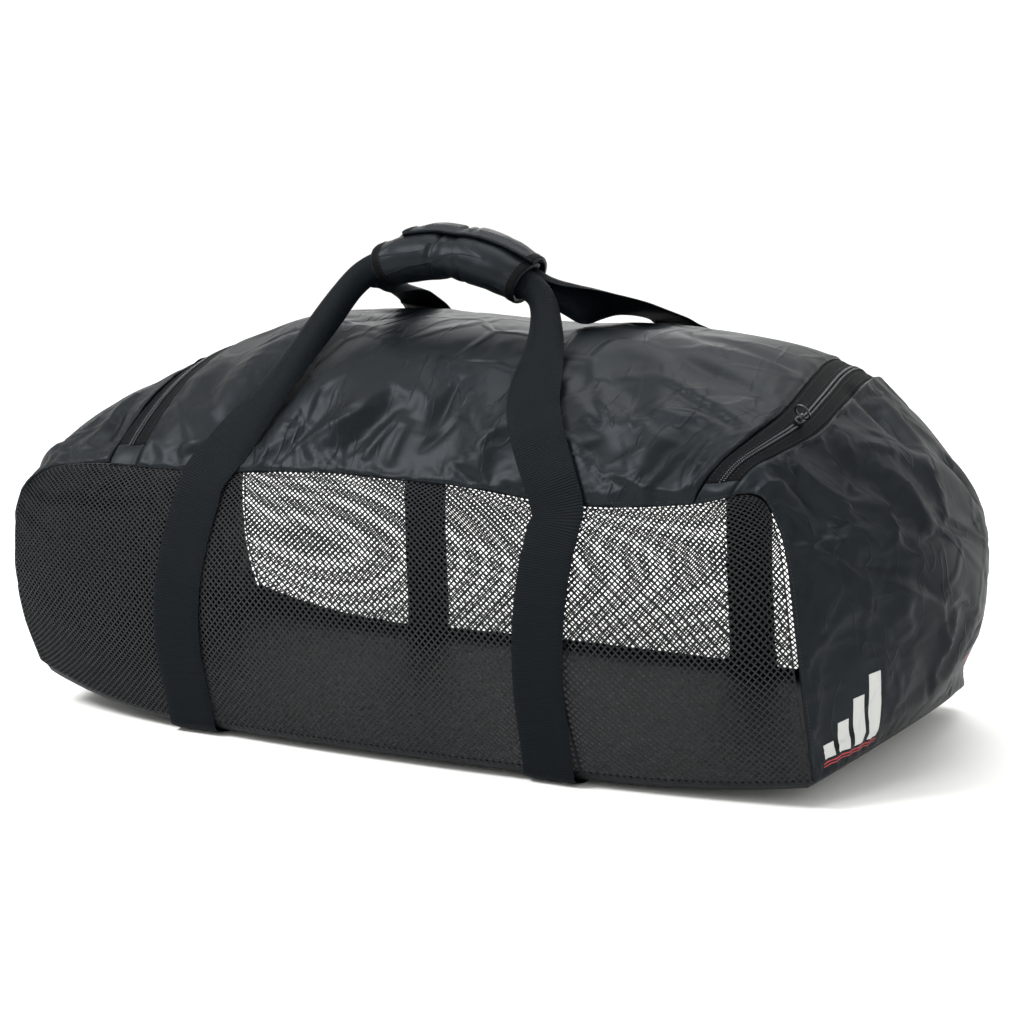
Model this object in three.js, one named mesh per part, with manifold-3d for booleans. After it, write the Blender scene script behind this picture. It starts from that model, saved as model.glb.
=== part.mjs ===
// Large soft holdall with net long sides, nylon lid and ends, a U-shaped zip and two webbing
// carry loops joined by a padded wrap. Millimetres, +Z up, floor at zero, front towards -Y.
import * as THREE from "three";
import { mergeVertices } from "three/addons/utils/BufferGeometryUtils.js";
import Module from "manifold-3d";

const wasm = await Module();
wasm.setup();

// Cloth and seams
const nylon = 1.5;
const net = 1.2;
const baseCloth = 2;
const seamGap = 0.4;

// Rounded form of lid, shoulders and ends, one row for each hoop from the left end to the right.
// along: place on the middle line; seam and mid: the hoop at its two seams and at its middle;
// half: half width at the seams; turn: 1 for an arch, 2 for a shallow bow.
const arch = 533;
const crestShift = 15;
const hoops = [
  { along: -700, seamX: -410, seamZ: 43, midX: -422, midZ: 20, half: 199, turn: 2.0 },
  { along: -620, seamX: -427, seamZ: 92, midX: -440, midZ: 98, half: 203, turn: 1.8 },
  { along: -550, seamX: -432, seamZ: 148, midX: -446, midZ: 168, half: 206, turn: 1.6 },
  { along: -470, seamX: -421, seamZ: 203, midX: -437, midZ: 238, half: 206, turn: 1.5 },
  { along: -405, seamX: -396, seamZ: 233, midX: -406, midZ: 282, half: 206, turn: 1.6 },
  { along: -345, seamX: -345, seamZ: 244, midX: -348, midZ: 314, half: 206, turn: 1.7 },
  { along: -290, seamX: -290, seamZ: 246, midX: -290, midZ: 344, half: 206, turn: 1.7 },
  { along: -200, seamX: -200, seamZ: 248, midX: -200, midZ: 375, half: 208, turn: 1.6 },
  { along: -75, seamX: -75, seamZ: 257, midX: -75, midZ: 385, half: 210, turn: 1.4 },
  { along: 50, seamX: 50, seamZ: 255, midX: 50, midZ: 381, half: 210, turn: 1.25 },
  { along: 180, seamX: 180, seamZ: 246, midX: 180, midZ: 381, half: 208, turn: 1.15 },
  { along: 290, seamX: 290, seamZ: 257, midX: 290, midZ: 364, half: 205, turn: 1.1 },
  { along: 345, seamX: 343, seamZ: 270, midX: 348, midZ: 332, half: 203, turn: 1.1 },
  { along: 405, seamX: 362, seamZ: 246, midX: 406, midZ: 288, half: 202, turn: 1.2 },
  { along: 470, seamX: 372, seamZ: 203, midX: 450, midZ: 244, half: 203, turn: 1.4 },
  { along: 550, seamX: 381, seamZ: 133, midX: 474, midZ: 168, half: 203, turn: 1.6 },
  { along: 620, seamX: 389, seamZ: 78, midX: 470, midZ: 96, half: 201, turn: 1.8 },
  { along: 700, seamX: 399, seamZ: 24, midX: 436, midZ: 20, half: 199, turn: 2.0 },
];
const endAlong = 700;
const leftCorner = -425;
const rightCorner = 352;

// Main folds and dents of the nylon, each along a line on the form; rise is outward
const folds = [
  { along: -196, q: 24, toAlong: -132, toQ: 190, width: 32, rise: -17 },
  { along: -104, q: 30, toAlong: -20, toQ: 110, width: 15, rise: 5 },
  { along: -66, q: 20, toAlong: -26, toQ: 90, width: 14, rise: -6 },
  { along: 70, q: 24, toAlong: 100, toQ: 100, width: 16, rise: 5 },
  { along: 180, q: 150, toAlong: 216, toQ: 104, width: 20, rise: -9 },
  { along: 276, q: 106, toAlong: 256, toQ: 30, width: 15, rise: -7 },
  { along: 240, q: 96, toAlong: 226, toQ: 36, width: 17, rise: 5 },
  { along: 284, q: 150, toAlong: 220, toQ: 190, width: 15, rise: -5 },
  { along: -250, q: 60, toAlong: -236, toQ: 180, width: 18, rise: -6 },
  { along: -170, q: 420, toAlong: -60, toQ: 340, width: 24, rise: -8 },
  { along: 60, q: 440, toAlong: 140, toQ: 330, width: 22, rise: -7 },
  { along: 230, q: 410, toAlong: 190, toQ: 330, width: 18, rise: 5 },
  { along: 352, q: 72, toAlong: 446, toQ: 96, width: 15, rise: -7 },
  { along: 378, q: 160, toAlong: 466, toQ: 176, width: 15, rise: -7 },
  { along: 386, q: 205, toAlong: 486, toQ: 200, width: 15, rise: 5 },
  { along: 478, q: 92, toAlong: 550, toQ: 198, width: 18, rise: -8 },
  { along: 510, q: 140, toAlong: 570, toQ: 128, width: 15, rise: 5 },
  { along: 554, q: 216, toAlong: 620, toQ: 186, width: 17, rise: 6 },
  { along: 588, q: 290, toAlong: 650, toQ: 244, width: 18, rise: -7 },
  { along: 346, q: 272, toAlong: 414, toQ: 264, width: 17, rise: -13 },
  { along: 420, q: 333, toAlong: 490, toQ: 340, width: 17, rise: -11 },
  { along: -340, q: 50, toAlong: -390, toQ: 96, width: 20, rise: -8 },
  { along: -390, q: 44, toAlong: -450, toQ: 66, width: 17, rise: 6 },
  { along: -420, q: 160, toAlong: -520, toQ: 260, width: 24, rise: -9 },
  { along: -400, q: 350, toAlong: -560, toQ: 310, width: 24, rise: -8 },
];

// Net walls
const bellyFront = 15;
const footSag = 34;
const netFolds = [
  { u: 0.0, v: 0.78, toU: 0.1, toV: 0.98, width: 0.03, rise: -6 },
  { u: 0.3, v: 0.1, toU: 0.34, toV: 0.6, width: 0.06, rise: 4 },
  { u: 0.84, v: 0.2, toU: 0.9, toV: 0.8, width: 0.04, rise: -6 },
];

// Base: flat floor over the straps, turned up rim, lifted corners
const baseUnder = 2.9;
const rimDrop = 1.7;
const rimTop = 12;
const endLift = 8;
const cornerLift = { left: 23, right: 4, from: 0.55 };
const rimBend = { alongX: 0.93, alongY: 0.87 };

// Zip, a U in the form's own along and q
const zip = {
  leg: 303,
  corner: 60,
  half: 15,
  coilHalf: 2.8,
  coilRise: 1.4,
  coilDeep: 2.8,
  tape: 1.2,
  tabEnd: 28,
  sliderQ: 154,
};
const zipBow = [
  { q: 0, out: 0 },
  { q: 50, out: 14 },
  { q: 98, out: 31 },
  { q: 154, out: 40 },
  { q: 219, out: 35 },
  { q: 296, out: 22 },
  { q: 400, out: 5 },
  { q: 458, out: 0 },
  { q: 533, out: 0 },
];
const cornerAlong = zip.leg - zip.corner;
const cornerQ = arch - zip.half - zip.corner;

// Webbing loops and wrap
const webbing = { width: 50, thick: 2, clear: 0.9, curl: 12 };
const wrap = {
  left: -100,
  right: 52,
  y: -55,
  endZ: 429,
  midZ: 446,
  drop: 10,
  holeHigh: 15.2,
  holeDeep: 21,
  wall: 4.2,
  spiral: 6.4,
  overlap: 0.7,
  pinch: 1.4,
};
const strapLine = 18.6;
const legs = {
  left: { baseX: -214, bellyX: -226, seamX: -206, frontX: -193, front: 18, backX: -118, back: 222 },
  right: { baseX: 163, bellyX: 155, seamX: 163, frontX: 115, front: 96, backX: 140, back: 204 },
};

// Smooth run through the rows of a table, in the order of its key column
function through(rows, key, column, at) {
  const last = rows.length - 1;
  let i = 0;
  while (i < last - 1 && at > rows[i + 1][key]) i += 1;
  const slope = (k) => {
    const before = rows[Math.max(k - 1, 0)];
    const after = rows[Math.min(k + 1, last)];
    return (after[column] - before[column]) / (after[key] - before[key]);
  };
  const span = rows[i + 1][key] - rows[i][key];
  const t = THREE.MathUtils.clamp((at - rows[i][key]) / span, 0, 1);
  const a = (2 * t ** 3 - 3 * t ** 2 + 1) * rows[i][column];
  const b = (t ** 3 - 2 * t ** 2 + t) * span * slope(i);
  const c = (3 * t ** 2 - 2 * t ** 3) * rows[i + 1][column];
  const d = (t ** 3 - t ** 2) * span * slope(i + 1);
  return a + b + c + d;
}

function hoopPoint(along, q) {
  const b = THREE.MathUtils.clamp(q / arch, 0, 1);
  const at = (column) => through(hoops, "along", column, along);
  const turn = THREE.MathUtils.clamp(at("turn"), 1, 2);
  const across = -(2 - turn) * Math.cos(Math.PI * b) + (turn - 1) * (2 * b - 1);
  const bow = Math.sqrt(Math.max(0, 1 - across * across));
  const rise = bow ** turn;
  return new THREE.Vector3(
    at("seamX") + (at("midX") - at("seamX")) * rise,
    at("half") * across + crestShift * (2 - turn) * bow * bow,
    at("seamZ") + (at("midZ") - at("seamZ")) * rise,
  );
}

// Sum of the folds that pass near a place
function foldRise(rows, first, second, a, b) {
  const to = { along: "toAlong", u: "toU" }[first];
  const toSecond = { q: "toQ", v: "toV" }[second];
  let sum = 0;
  for (const row of rows) {
    const runA = row[to] - row[first];
    const runB = row[toSecond] - row[second];
    const run = Math.hypot(runA, runB);
    const along = ((a - row[first]) * runA + (b - row[second]) * runB) / (run * run);
    const off = ((a - row[first]) * runB - (b - row[second]) * runA) / run;
    const past = Math.max(0, -along, along - 1) * run;
    const fade = Math.sin(Math.PI * THREE.MathUtils.clamp(0.12 + 0.76 * along, 0, 1));
    sum += row.rise * fade * Math.exp(-((off * off + 2 * past * past) / (row.width * row.width)));
  }
  return sum;
}

function normalOf(point, u, v, step) {
  const uA = Math.max(0, u - step);
  const uB = Math.min(1, u + step);
  const vA = Math.max(0, v - step);
  const vB = Math.min(1, v + step);
  const alongU = point(uB, v).sub(point(uA, v));
  const alongV = point(u, vB).sub(point(u, vA));
  return alongU.cross(alongV).normalize();
}

const wholeForm = (u, v) => hoopPoint((u * 2 - 1) * endAlong, v * arch);

// The right leg of the zip, and the cloth beside it, bows outward
function bowed(along, q) {
  const near = THREE.MathUtils.smoothstep(along, 190, 285);
  const far = THREE.MathUtils.smoothstep(along, 360, 560);
  return along + through(zipBow, "q", "out", q) * near * (1 - far);
}

const outward = (along, q) =>
  normalOf(wholeForm, (bowed(along, q) / endAlong + 1) / 2, q / arch, 0.012);

// Nylon surface with its folds, and the same raised by a height
function cloth(along, q, high = 0) {
  const place = bowed(along, q);
  const rise = foldRise(folds, "along", "q", place, q) + high;
  return hoopPoint(place, q).addScaledVector(outward(along, q), rise);
}

// Closed thin solid from a face and its thickness; core is a place behind the face
function sheet(point, uPlaces, vPlaces, thickness, core) {
  const front = [];
  const behind = [];
  for (const u of uPlaces) {
    for (const v of vPlaces) {
      const p = point(u, v);
      const out = normalOf(point, u, v, 0.004);
      if (p.clone().sub(core(p)).dot(out) < 0) out.negate();
      front.push(p);
      behind.push(p.clone().addScaledVector(out, -thickness));
    }
  }
  const rows = uPlaces.length;
  const across = vPlaces.length;
  const count = rows * across;
  const at = (i, j) => i * across + j;
  const index = [];
  const quad = (a, b, c, d) => index.push(a, b, c, a, c, d);
  for (let i = 0; i < rows - 1; i += 1) {
    for (let j = 0; j < across - 1; j += 1) {
      quad(at(i, j), at(i + 1, j), at(i + 1, j + 1), at(i, j + 1));
      quad(count + at(i, j), count + at(i, j + 1), count + at(i + 1, j + 1), count + at(i + 1, j));
    }
  }
  const rim = [];
  for (let i = 0; i < rows - 1; i += 1) rim.push(at(i, 0));
  for (let j = 0; j < across - 1; j += 1) rim.push(at(rows - 1, j));
  for (let i = rows - 1; i > 0; i -= 1) rim.push(at(i, across - 1));
  for (let j = across - 1; j > 0; j -= 1) rim.push(at(0, j));
  rim.forEach((a, k) => {
    const b = rim[(k + 1) % rim.length];
    quad(b, a, count + a, count + b);
  });
  return solid([...front, ...behind], index);
}

// Indexed points to a geometry whose faces look outward
function solid(points, index) {
  let volume = 0;
  for (let k = 0; k < index.length; k += 3) {
    const [a, b, c] = [points[index[k]], points[index[k + 1]], points[index[k + 2]]];
    volume += a.dot(b.clone().cross(c));
  }
  const order = [...index];
  if (volume < 0) order.reverse();
  const geometry = new THREE.BufferGeometry();
  const flat = points.flatMap((p) => [p.x, p.y, p.z]);
  geometry.setAttribute("position", new THREE.Float32BufferAttribute(flat, 3));
  geometry.setIndex(order);
  geometry.computeVertexNormals();
  return geometry;
}

const steps = (count, from = 0, to = 1) =>
  Array.from({ length: count + 1 }, (_, k) => from + ((to - from) * k) / count);
const bagCore = () => new THREE.Vector3(0, 0, 180);

// Lid inside the U: straight sides, then the two round back corners
function lidPoint(u, v) {
  const turnFrom = 0.84;
  const inner = zip.corner - zip.half - 2 * seamGap;
  const angle = (Math.max(0, v - turnFrom) / (1 - turnFrom)) * (Math.PI / 2);
  const q = 1 + (cornerQ - 1) * Math.min(1, v / turnFrom) + inner * Math.sin(angle);
  return cloth((cornerAlong + inner * Math.cos(angle)) * (2 * u - 1), q);
}

// End outside the U, from the zip over the shoulder to the base; side is -1 or 1
function endPoint(side) {
  return (u, v) => {
    const turnFrom = 0.68;
    const outer = zip.corner + zip.half + 2 * seamGap;
    const start = 3.4;
    const wholeTurn = Math.asin((arch - 1.6 * start - cornerQ) / outer);
    const angle = (Math.max(0, u - turnFrom) / (1 - turnFrom)) * wholeTurn;
    const q = start + (cornerQ - start) * Math.min(1, u / turnFrom) + outer * Math.sin(angle);
    const from = cornerAlong + outer * Math.cos(angle);
    return cloth(side * (from + (endAlong - 1 - from) * v), q);
  };
}

// Height of the lifted ends and corners of the base
function lift(s, t) {
  const share = Math.max(0, (Math.abs(s) - cornerLift.from) / (1 - cornerLift.from)) ** 2;
  return share * (endLift + t * t * (s < 0 ? cornerLift.left : cornerLift.right));
}

function basePlan(s, t) {
  const leftX = hoopPoint(-endAlong, ((t + 1) / 2) * arch).x;
  const rightX = hoopPoint(endAlong, ((t + 1) / 2) * arch).x;
  const x = leftX + ((rightX - leftX) * (s + 1)) / 2;
  return new THREE.Vector3(x, (hoops[0].half + footSag * (1 - s * s)) * t, 0);
}

function basePoint(u, v) {
  const s = 2 * u - 1;
  const t = 2 * v - 1;
  const bendX = Math.max(0, Math.abs(s) - rimBend.alongX) / (1 - rimBend.alongX);
  const bendY = Math.max(0, Math.abs(t) - rimBend.alongY) / (1 - rimBend.alongY);
  const bend = Math.min(1, Math.max(bendX, bendY));
  const rim = (rimTop - baseUnder - rimDrop) * (1 - Math.sqrt(1 - bend * bend));
  return basePlan(s, t).setZ(baseUnder + lift(s, t) + rim);
}

// Net wall between the seams, the base rim and the two end seams; face is -1 front, 1 back
function netPoint(face) {
  const seamQ = face < 0 ? 0 : arch;
  const foot = (u) => basePlan(2 * u - 1, face).setZ(rimTop + lift(2 * u - 1, face));
  const head = (u) => cloth(leftCorner + (rightCorner - leftCorner) * u, seamQ);
  const left = (v) => hoopPoint(-endAlong + (leftCorner + endAlong) * v, seamQ);
  const right = (v) => hoopPoint(endAlong + (rightCorner - endAlong) * v, seamQ);
  return (u, v) => {
    const p = foot(u).multiplyScalar(1 - v).addScaledVector(head(u), v);
    p.addScaledVector(left(v), 1 - u).addScaledVector(right(v), u);
    p.addScaledVector(foot(0), -(1 - u) * (1 - v)).addScaledVector(foot(1), -u * (1 - v));
    p.addScaledVector(head(0), -(1 - u) * v).addScaledVector(head(1), -u * v);
    const wide = 1 - Math.abs(2 * u - 1) ** 4;
    const fold = face < 0 ? foldRise(netFolds, "u", "v", u, v) * Math.sin(Math.PI * v) : 0;
    p.y += face * (bellyFront * Math.sin(Math.PI * v) * wide + fold * wide);
    return p;
  };
}

// Place of the zip's middle line, offset sideways, in along and q
function zipPlace(run, side) {
  const [straight, turn] = [0.3, 0.12];
  const place = (k, w) => {
    if (k <= straight) {
      return [zip.leg + w, zip.tabEnd + seamGap + (cornerQ - zip.tabEnd - seamGap) * (k / straight)];
    }
    if (k <= straight + turn) {
      const angle = ((k - straight) / turn) * (Math.PI / 2);
      const radius = zip.corner + w;
      return [cornerAlong + radius * Math.cos(angle), cornerQ + radius * Math.sin(angle)];
    }
    return [cornerAlong * (1 - (k - straight - turn) / (0.5 - straight - turn)), cornerQ + zip.corner + w];
  };
  if (run <= 0.5) return place(run, side);
  const [along, q] = place(1 - run, side);
  return [-along, q];
}

const zipStrip = (fromW, toW, high) => (u, v) => {
  const [along, q] = zipPlace(u, fromW + (toW - fromW) * v);
  return cloth(along, Math.min(q, arch - 0.4), high);
};
const zipRuns = [
  ...steps(17, 0, 0.3),
  ...steps(6, 0.3, 0.42).slice(1),
  ...steps(14, 0.42, 0.58).slice(1),
  ...steps(6, 0.58, 0.7).slice(1),
  ...steps(17, 0.7, 1).slice(1),
];

const tabPoint = (side) => (u, v) =>
  cloth(side * (zip.leg - zip.half + 2 * zip.half * u), 1.4 + (zip.tabEnd - 1.4) * v);

// Outline of the bag under a strap, from the middle of the base up to where the strap leaves the lid
function wallRun(leg, face) {
  const wall = netPoint(face);
  const [leave, leaveX] = face < 0 ? [leg.front, leg.frontX] : [leg.back, leg.backX];
  const sides = steps(4, -webbing.width / 2, webbing.width / 2);
  const atX = (point, x) => {
    let [low, high] = [0, 1];
    for (let k = 0; k < 30; k += 1) {
      const mid = (low + high) / 2;
      if (point(mid).x < x) low = mid;
      else high = mid;
    }
    return point((low + high) / 2);
  };
  const outermost = (point, x) => {
    const middle = atX(point, x);
    const reach = sides.map((dx) => atX(point, x + dx).y * face);
    return middle.setY(Math.max(...reach) * face);
  };
  const places = [];
  for (const t of [0.004, 0.3, 0.6, 0.8, 0.87, 0.92, 0.96, 0.985, 1]) {
    places.push(outermost((u) => basePoint(u, 0.5 + (face * t) / 2), leg.baseX));
  }
  for (const v of steps(10, 0.02, 0.97)) {
    const ease = Math.sin(Math.PI * v) ** 1.5;
    const x = leg.baseX + (leg.seamX - leg.baseX) * v + (leg.bellyX - leg.baseX) * ease;
    const place = outermost((u) => wall(u, v), x);
    const overZip = (face < 0 ? 1.2 : 3) * THREE.MathUtils.smoothstep(v, 0.7, 0.95);
    places.push(place.setY(place.y + face * overZip));
  }
  const lidSteps = Math.max(1, Math.round(leave / 24));
  for (const k of steps(lidSteps).slice(1)) {
    const x = leg.seamX + (leaveX - leg.seamX) * k;
    const q = face < 0 ? leave * k : arch - leave * k;
    const overZip = face < 0 ? 1.3 : 3.6 - 1.2 * THREE.MathUtils.smoothstep(leave * k, 40, 80);
    const out = outward(x, q);
    const reach = sides.map((dx) => cloth(x + dx, q).dot(out));
    const p = cloth(x, q);
    places.push(p.addScaledVector(out, Math.max(...reach) - p.dot(out) + overZip));
  }
  return places;
}

// Loop of webbing: up one wall, through the wrap, down the other leg
function loop(face) {
  const gap = webbing.clear + webbing.thick / 2;
  const onWall = (leg) => {
    const run = wallRun(leg, face);
    return run.map((p, k) => {
      const ahead = run[Math.min(k + 1, run.length - 1)];
      const before = run[Math.max(k - 1, 0)];
      const out = new THREE.Vector3(0, ahead.z - before.z, before.y - ahead.y).normalize();
      out.multiplyScalar(face);
      const under = k < 4;
      const at = under ? new THREE.Vector3(p.x, p.y, webbing.thick / 2) : p.clone().addScaledVector(out, gap);
      return { at, out: under ? new THREE.Vector3(0, 0, -1) : out, curl: 0 };
    });
  };
  const flight = (from, before, sideX) => {
    const start = from.at;
    const end = wrapLine(sideX < 0 ? -0.06 : 1.06, face);
    const toward = wrapLine(sideX < 0 ? 0.1 : 0.9, face).sub(end).normalize();
    const reach = start.distanceTo(end);
    const off = face < 0 ? 0.08 : 0.3;
    const away = start.clone().sub(before.at).normalize().addScaledVector(from.out, off);
    const curve = new THREE.CubicBezierCurve3(
      start,
      start.clone().addScaledVector(away, reach * 0.16),
      end.clone().addScaledVector(toward, -reach * 0.18),
      end,
    );
    return steps(10).slice(1).map((t) => {
      const side = new THREE.Vector3(0, face, 0);
      const out = from.out.clone().lerp(side, THREE.MathUtils.smoothstep(t, 0.1, 0.9));
      return { at: curve.getPoint(t), out, curl: THREE.MathUtils.smoothstep(t, 0.35, 0.97) };
    });
  };
  const leftWall = onWall(legs.left);
  const rightWall = onWall(legs.right);
  const leftAir = flight(leftWall.at(-1), leftWall.at(-2), -1);
  const rightAir = flight(rightWall.at(-1), rightWall.at(-2), 1);
  const held = steps(5, 0, 1).map((t) => ({
    at: wrapLine(t, face),
    out: new THREE.Vector3(0, face, 0),
    curl: 1,
  }));
  return [...leftWall, ...leftAir, ...held, ...rightAir.reverse(), ...rightWall.reverse()];
}

// Arched middle line of the wrap, moved to one of the two loops
function wrapLine(t, face) {
  const x = wrap.left + (wrap.right - wrap.left) * t;
  const bow = 1 - (2 * t - 1) ** 2;
  const z = wrap.endZ + (wrap.midZ - wrap.endZ) * bow + wrap.drop * (0.5 - t);
  return new THREE.Vector3(x, wrap.y + face * strapLine, z);
}

// Ribbon along its places, curled where the wrap gathers it
function ribbon(places) {
  const sections = 3;
  const rings = places.map((place, k) => {
    const ahead = places[Math.min(k + 1, places.length - 1)].at;
    const before = places[Math.max(k - 1, 0)].at;
    const along = ahead.clone().sub(before).normalize();
    const out = place.out.clone().addScaledVector(along, -place.out.dot(along)).normalize();
    const across = along.clone().cross(out);
    const bend = Math.max(place.curl / webbing.curl, 1e-5);
    const side = (offset) =>
      steps(sections, -webbing.width / 2, webbing.width / 2).map((w) => {
        const radius = 1 / bend + offset;
        const angle = w * bend;
        const p = place.at.clone().addScaledVector(across, radius * Math.sin(angle));
        return p.addScaledVector(out, radius * Math.cos(angle) - 1 / bend);
      });
    return [...side(webbing.thick / 2), ...side(-webbing.thick / 2).reverse()];
  });
  const size = rings[0].length;
  const index = [];
  for (let k = 0; k < rings.length - 1; k += 1) {
    for (let j = 0; j < size; j += 1) {
      const [a, b] = [k * size + j, k * size + ((j + 1) % size)];
      index.push(a, b, b + size, a, b + size, a + size);
    }
  }
  const last = (rings.length - 1) * size;
  for (let j = 0; j < sections; j += 1) {
    const [a, b, c, d] = [j, j + 1, size - 2 - j, size - 1 - j];
    index.push(a, c, b, a, d, c, last + a, last + b, last + c, last + a, last + c, last + d);
  }
  return solid(rings.flat(), index);
}

// Padded wrap, one sheet rolled once round, its back edge lapped forward over the top
function wrapPoint(u, v) {
  const lapped = 2 * Math.PI + wrap.overlap;
  const angle = 0.5 * Math.PI - wrap.overlap / 2 + lapped * v;
  const grown = wrap.spiral * THREE.MathUtils.smoothstep(v, 0.05, 0.95);
  const narrow = wrap.pinch * Math.exp(-(((u - 0.5) / 0.07) ** 2));
  const middle = wrapLine(u, 0);
  const fall = 8 * (wrap.midZ - wrap.endZ) * (u - 0.5) + wrap.drop;
  const tilt = Math.atan(-fall / (wrap.right - wrap.left));
  const high = (wrap.holeHigh + wrap.wall + grown - narrow) * Math.sin(angle);
  const deep = (wrap.holeDeep + wrap.wall + grown - narrow * 0.4) * Math.cos(angle);
  return new THREE.Vector3(middle.x - high * Math.sin(tilt), middle.y + deep, middle.z + high * Math.cos(tilt));
}

// Joining of the slider's body and bridge
const toManifold = (geometry) => {
  const plain = geometry.clone().deleteAttribute("normal").deleteAttribute("uv");
  const merged = mergeVertices(plain, 1e-4);
  const body = { numProp: 3, vertProperties: merged.attributes.position.array, triVerts: merged.index.array };
  return new wasm.Manifold(new wasm.Mesh({ ...body, triVerts: new Uint32Array(body.triVerts) }));
};
const fromManifold = (body) => {
  const { vertProperties, triVerts } = body.getMesh();
  const geometry = new THREE.BufferGeometry();
  geometry.setAttribute("position", new THREE.Float32BufferAttribute(vertProperties, 3));
  geometry.setIndex([...triVerts]);
  geometry.computeVertexNormals();
  return geometry;
};

// Frame on the right leg of the zip: x across it, y along it, z off the cloth
const slider = { wide: 9.4, long: 13, high: 4.4, bridgeWide: 3.4, bridgeHigh: 5.6, eyeHigh: 2.1, eye: 1.75 };
const ring = { radius: 7.6, wire: 1.05, longer: 1.12, lean: 60 };
function sliderFrame() {
  const at = cloth(zip.leg, zip.sliderQ, zip.coilRise + 0.35);
  const along = cloth(zip.leg, zip.sliderQ + 6).sub(cloth(zip.leg, zip.sliderQ - 6)).normalize();
  const out = outward(zip.leg, zip.sliderQ);
  out.addScaledVector(along, -out.dot(along)).normalize();
  return new THREE.Matrix4().makeBasis(along.clone().cross(out), along, out).setPosition(at);
}

// Body with a broad nose and a narrow tail, and a pierced bridge over it
function sliderBody() {
  const [wide, long] = [slider.wide / 2, slider.long / 2];
  const plan = new THREE.Shape();
  plan.moveTo(-wide, long - 2);
  plan.lineTo(-wide + 1.6, -long + 1);
  plan.lineTo(-wide + 2.4, -long);
  plan.lineTo(wide - 2.4, -long);
  plan.lineTo(wide - 1.6, -long + 1);
  plan.lineTo(wide, long - 2);
  plan.lineTo(wide - 2, long);
  plan.lineTo(-wide + 2, long);
  const body = new THREE.ExtrudeGeometry(plan, { depth: slider.high, bevelEnabled: false });
  const rib = new THREE.Shape();
  rib.moveTo(-4.6, -1);
  rib.lineTo(4.6, -1);
  rib.lineTo(4.2, slider.bridgeHigh - 2.2);
  rib.quadraticCurveTo(3.6, slider.bridgeHigh, 1, slider.bridgeHigh);
  rib.lineTo(-1, slider.bridgeHigh);
  rib.quadraticCurveTo(-3.6, slider.bridgeHigh, -4.2, slider.bridgeHigh - 2.2);
  const eye = new THREE.Path();
  eye.absarc(0, slider.eyeHigh, slider.eye, 0, Math.PI * 2, true);
  rib.holes.push(eye);
  const bridge = new THREE.ExtrudeGeometry(rib, {
    depth: slider.bridgeWide,
    bevelEnabled: false,
    curveSegments: 6,
  });
  const upright = new THREE.Matrix4().makeBasis(
    new THREE.Vector3(0, 1, 0),
    new THREE.Vector3(0, 0, 1),
    new THREE.Vector3(1, 0, 0),
  );
  bridge.applyMatrix4(upright.setPosition(-slider.bridgeWide / 2, 0, slider.high));
  return fromManifold(toManifold(body).add(toManifold(bridge))).applyMatrix4(sliderFrame());
}

// Ring through the eye, leaning to the front of the bag
function pullRing() {
  const geometry = new THREE.TorusGeometry(ring.radius, ring.wire, 8, 20);
  geometry.scale(1, ring.longer, 1);
  geometry.translate(0, ring.radius * ring.longer, 0);
  geometry.rotateX(Math.PI - THREE.MathUtils.degToRad(ring.lean));
  geometry.translate(0, 0, slider.high + slider.eyeHigh);
  const plain = mergeVertices(geometry.deleteAttribute("normal").deleteAttribute("uv"), 1e-4);
  plain.computeVertexNormals();
  return plain.applyMatrix4(sliderFrame());
}

const finish = {
  black_nylon: { color: 0x2e3235, roughness: 0.55 },
  black_net: { color: 0x24282b, roughness: 0.8 },
  base_cloth: { color: 0x1b1e20, roughness: 0.7 },
  zip_tape: { color: 0x202427, roughness: 0.8 },
  zip_coil: { color: 0x3a3e41, roughness: 0.45 },
  webbing: { color: 0x24282b, roughness: 0.75 },
  black_plastic: { color: 0x16181a, roughness: 0.3 },
};

const group = new THREE.Group();
function place(name, geometry, slot) {
  const mesh = new THREE.Mesh(geometry, new THREE.MeshStandardMaterial({ name: slot, ...finish[slot] }));
  mesh.name = name;
  group.add(mesh);
}

const endRows = [...steps(11, 0, 0.68), ...steps(7, 0.68, 1).slice(1)];
const lidRows = [...steps(16, 0, 0.84), ...steps(6, 0.84, 1).slice(1)];
const baseRows = [0, 0.006, 0.018, 0.035, ...steps(8, 0.1, 0.9), 0.965, 0.982, 0.994, 1];
const baseAcross = [0, 0.01, 0.03, 0.065, 0.2, 0.5, 0.8, 0.935, 0.97, 0.99, 1];
const wrapCore = (p) => wrapLine((p.x - wrap.left) / (wrap.right - wrap.left), 0);

place("base_panel", sheet(basePoint, baseRows, baseAcross, baseCloth, bagCore), "base_cloth");
place("front_mesh", sheet(netPoint(-1), steps(24), steps(7, 0.002, 0.996), net, bagCore), "black_net");
place("back_mesh", sheet(netPoint(1), steps(24), steps(7, 0.002, 0.996), net, bagCore), "black_net");
place("lid_panel", sheet(lidPoint, steps(23), lidRows, nylon, bagCore), "black_nylon");
place("end_panel_left", sheet(endPoint(-1), endRows, steps(13), nylon, bagCore), "black_nylon");
place("end_panel_right", sheet(endPoint(1), endRows, steps(13), nylon, bagCore), "black_nylon");
const inner = zipStrip(-zip.half, -zip.coilHalf - 0.3, 0);
place("zip_tape_inner", sheet(inner, zipRuns, [0, 1], zip.tape, bagCore), "zip_tape");
const outer = zipStrip(zip.coilHalf + 0.3, zip.half, 0);
place("zip_tape_outer", sheet(outer, zipRuns, [0, 1], zip.tape, bagCore), "zip_tape");
const coil = zipStrip(-zip.coilHalf, zip.coilHalf, zip.coilRise);
place("zip_coil", sheet(coil, zipRuns, [0, 1], zip.coilDeep, bagCore), "zip_coil");
place("zip_tab_left", sheet(tabPoint(-1), steps(3), steps(2), nylon, bagCore), "black_nylon");
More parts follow.
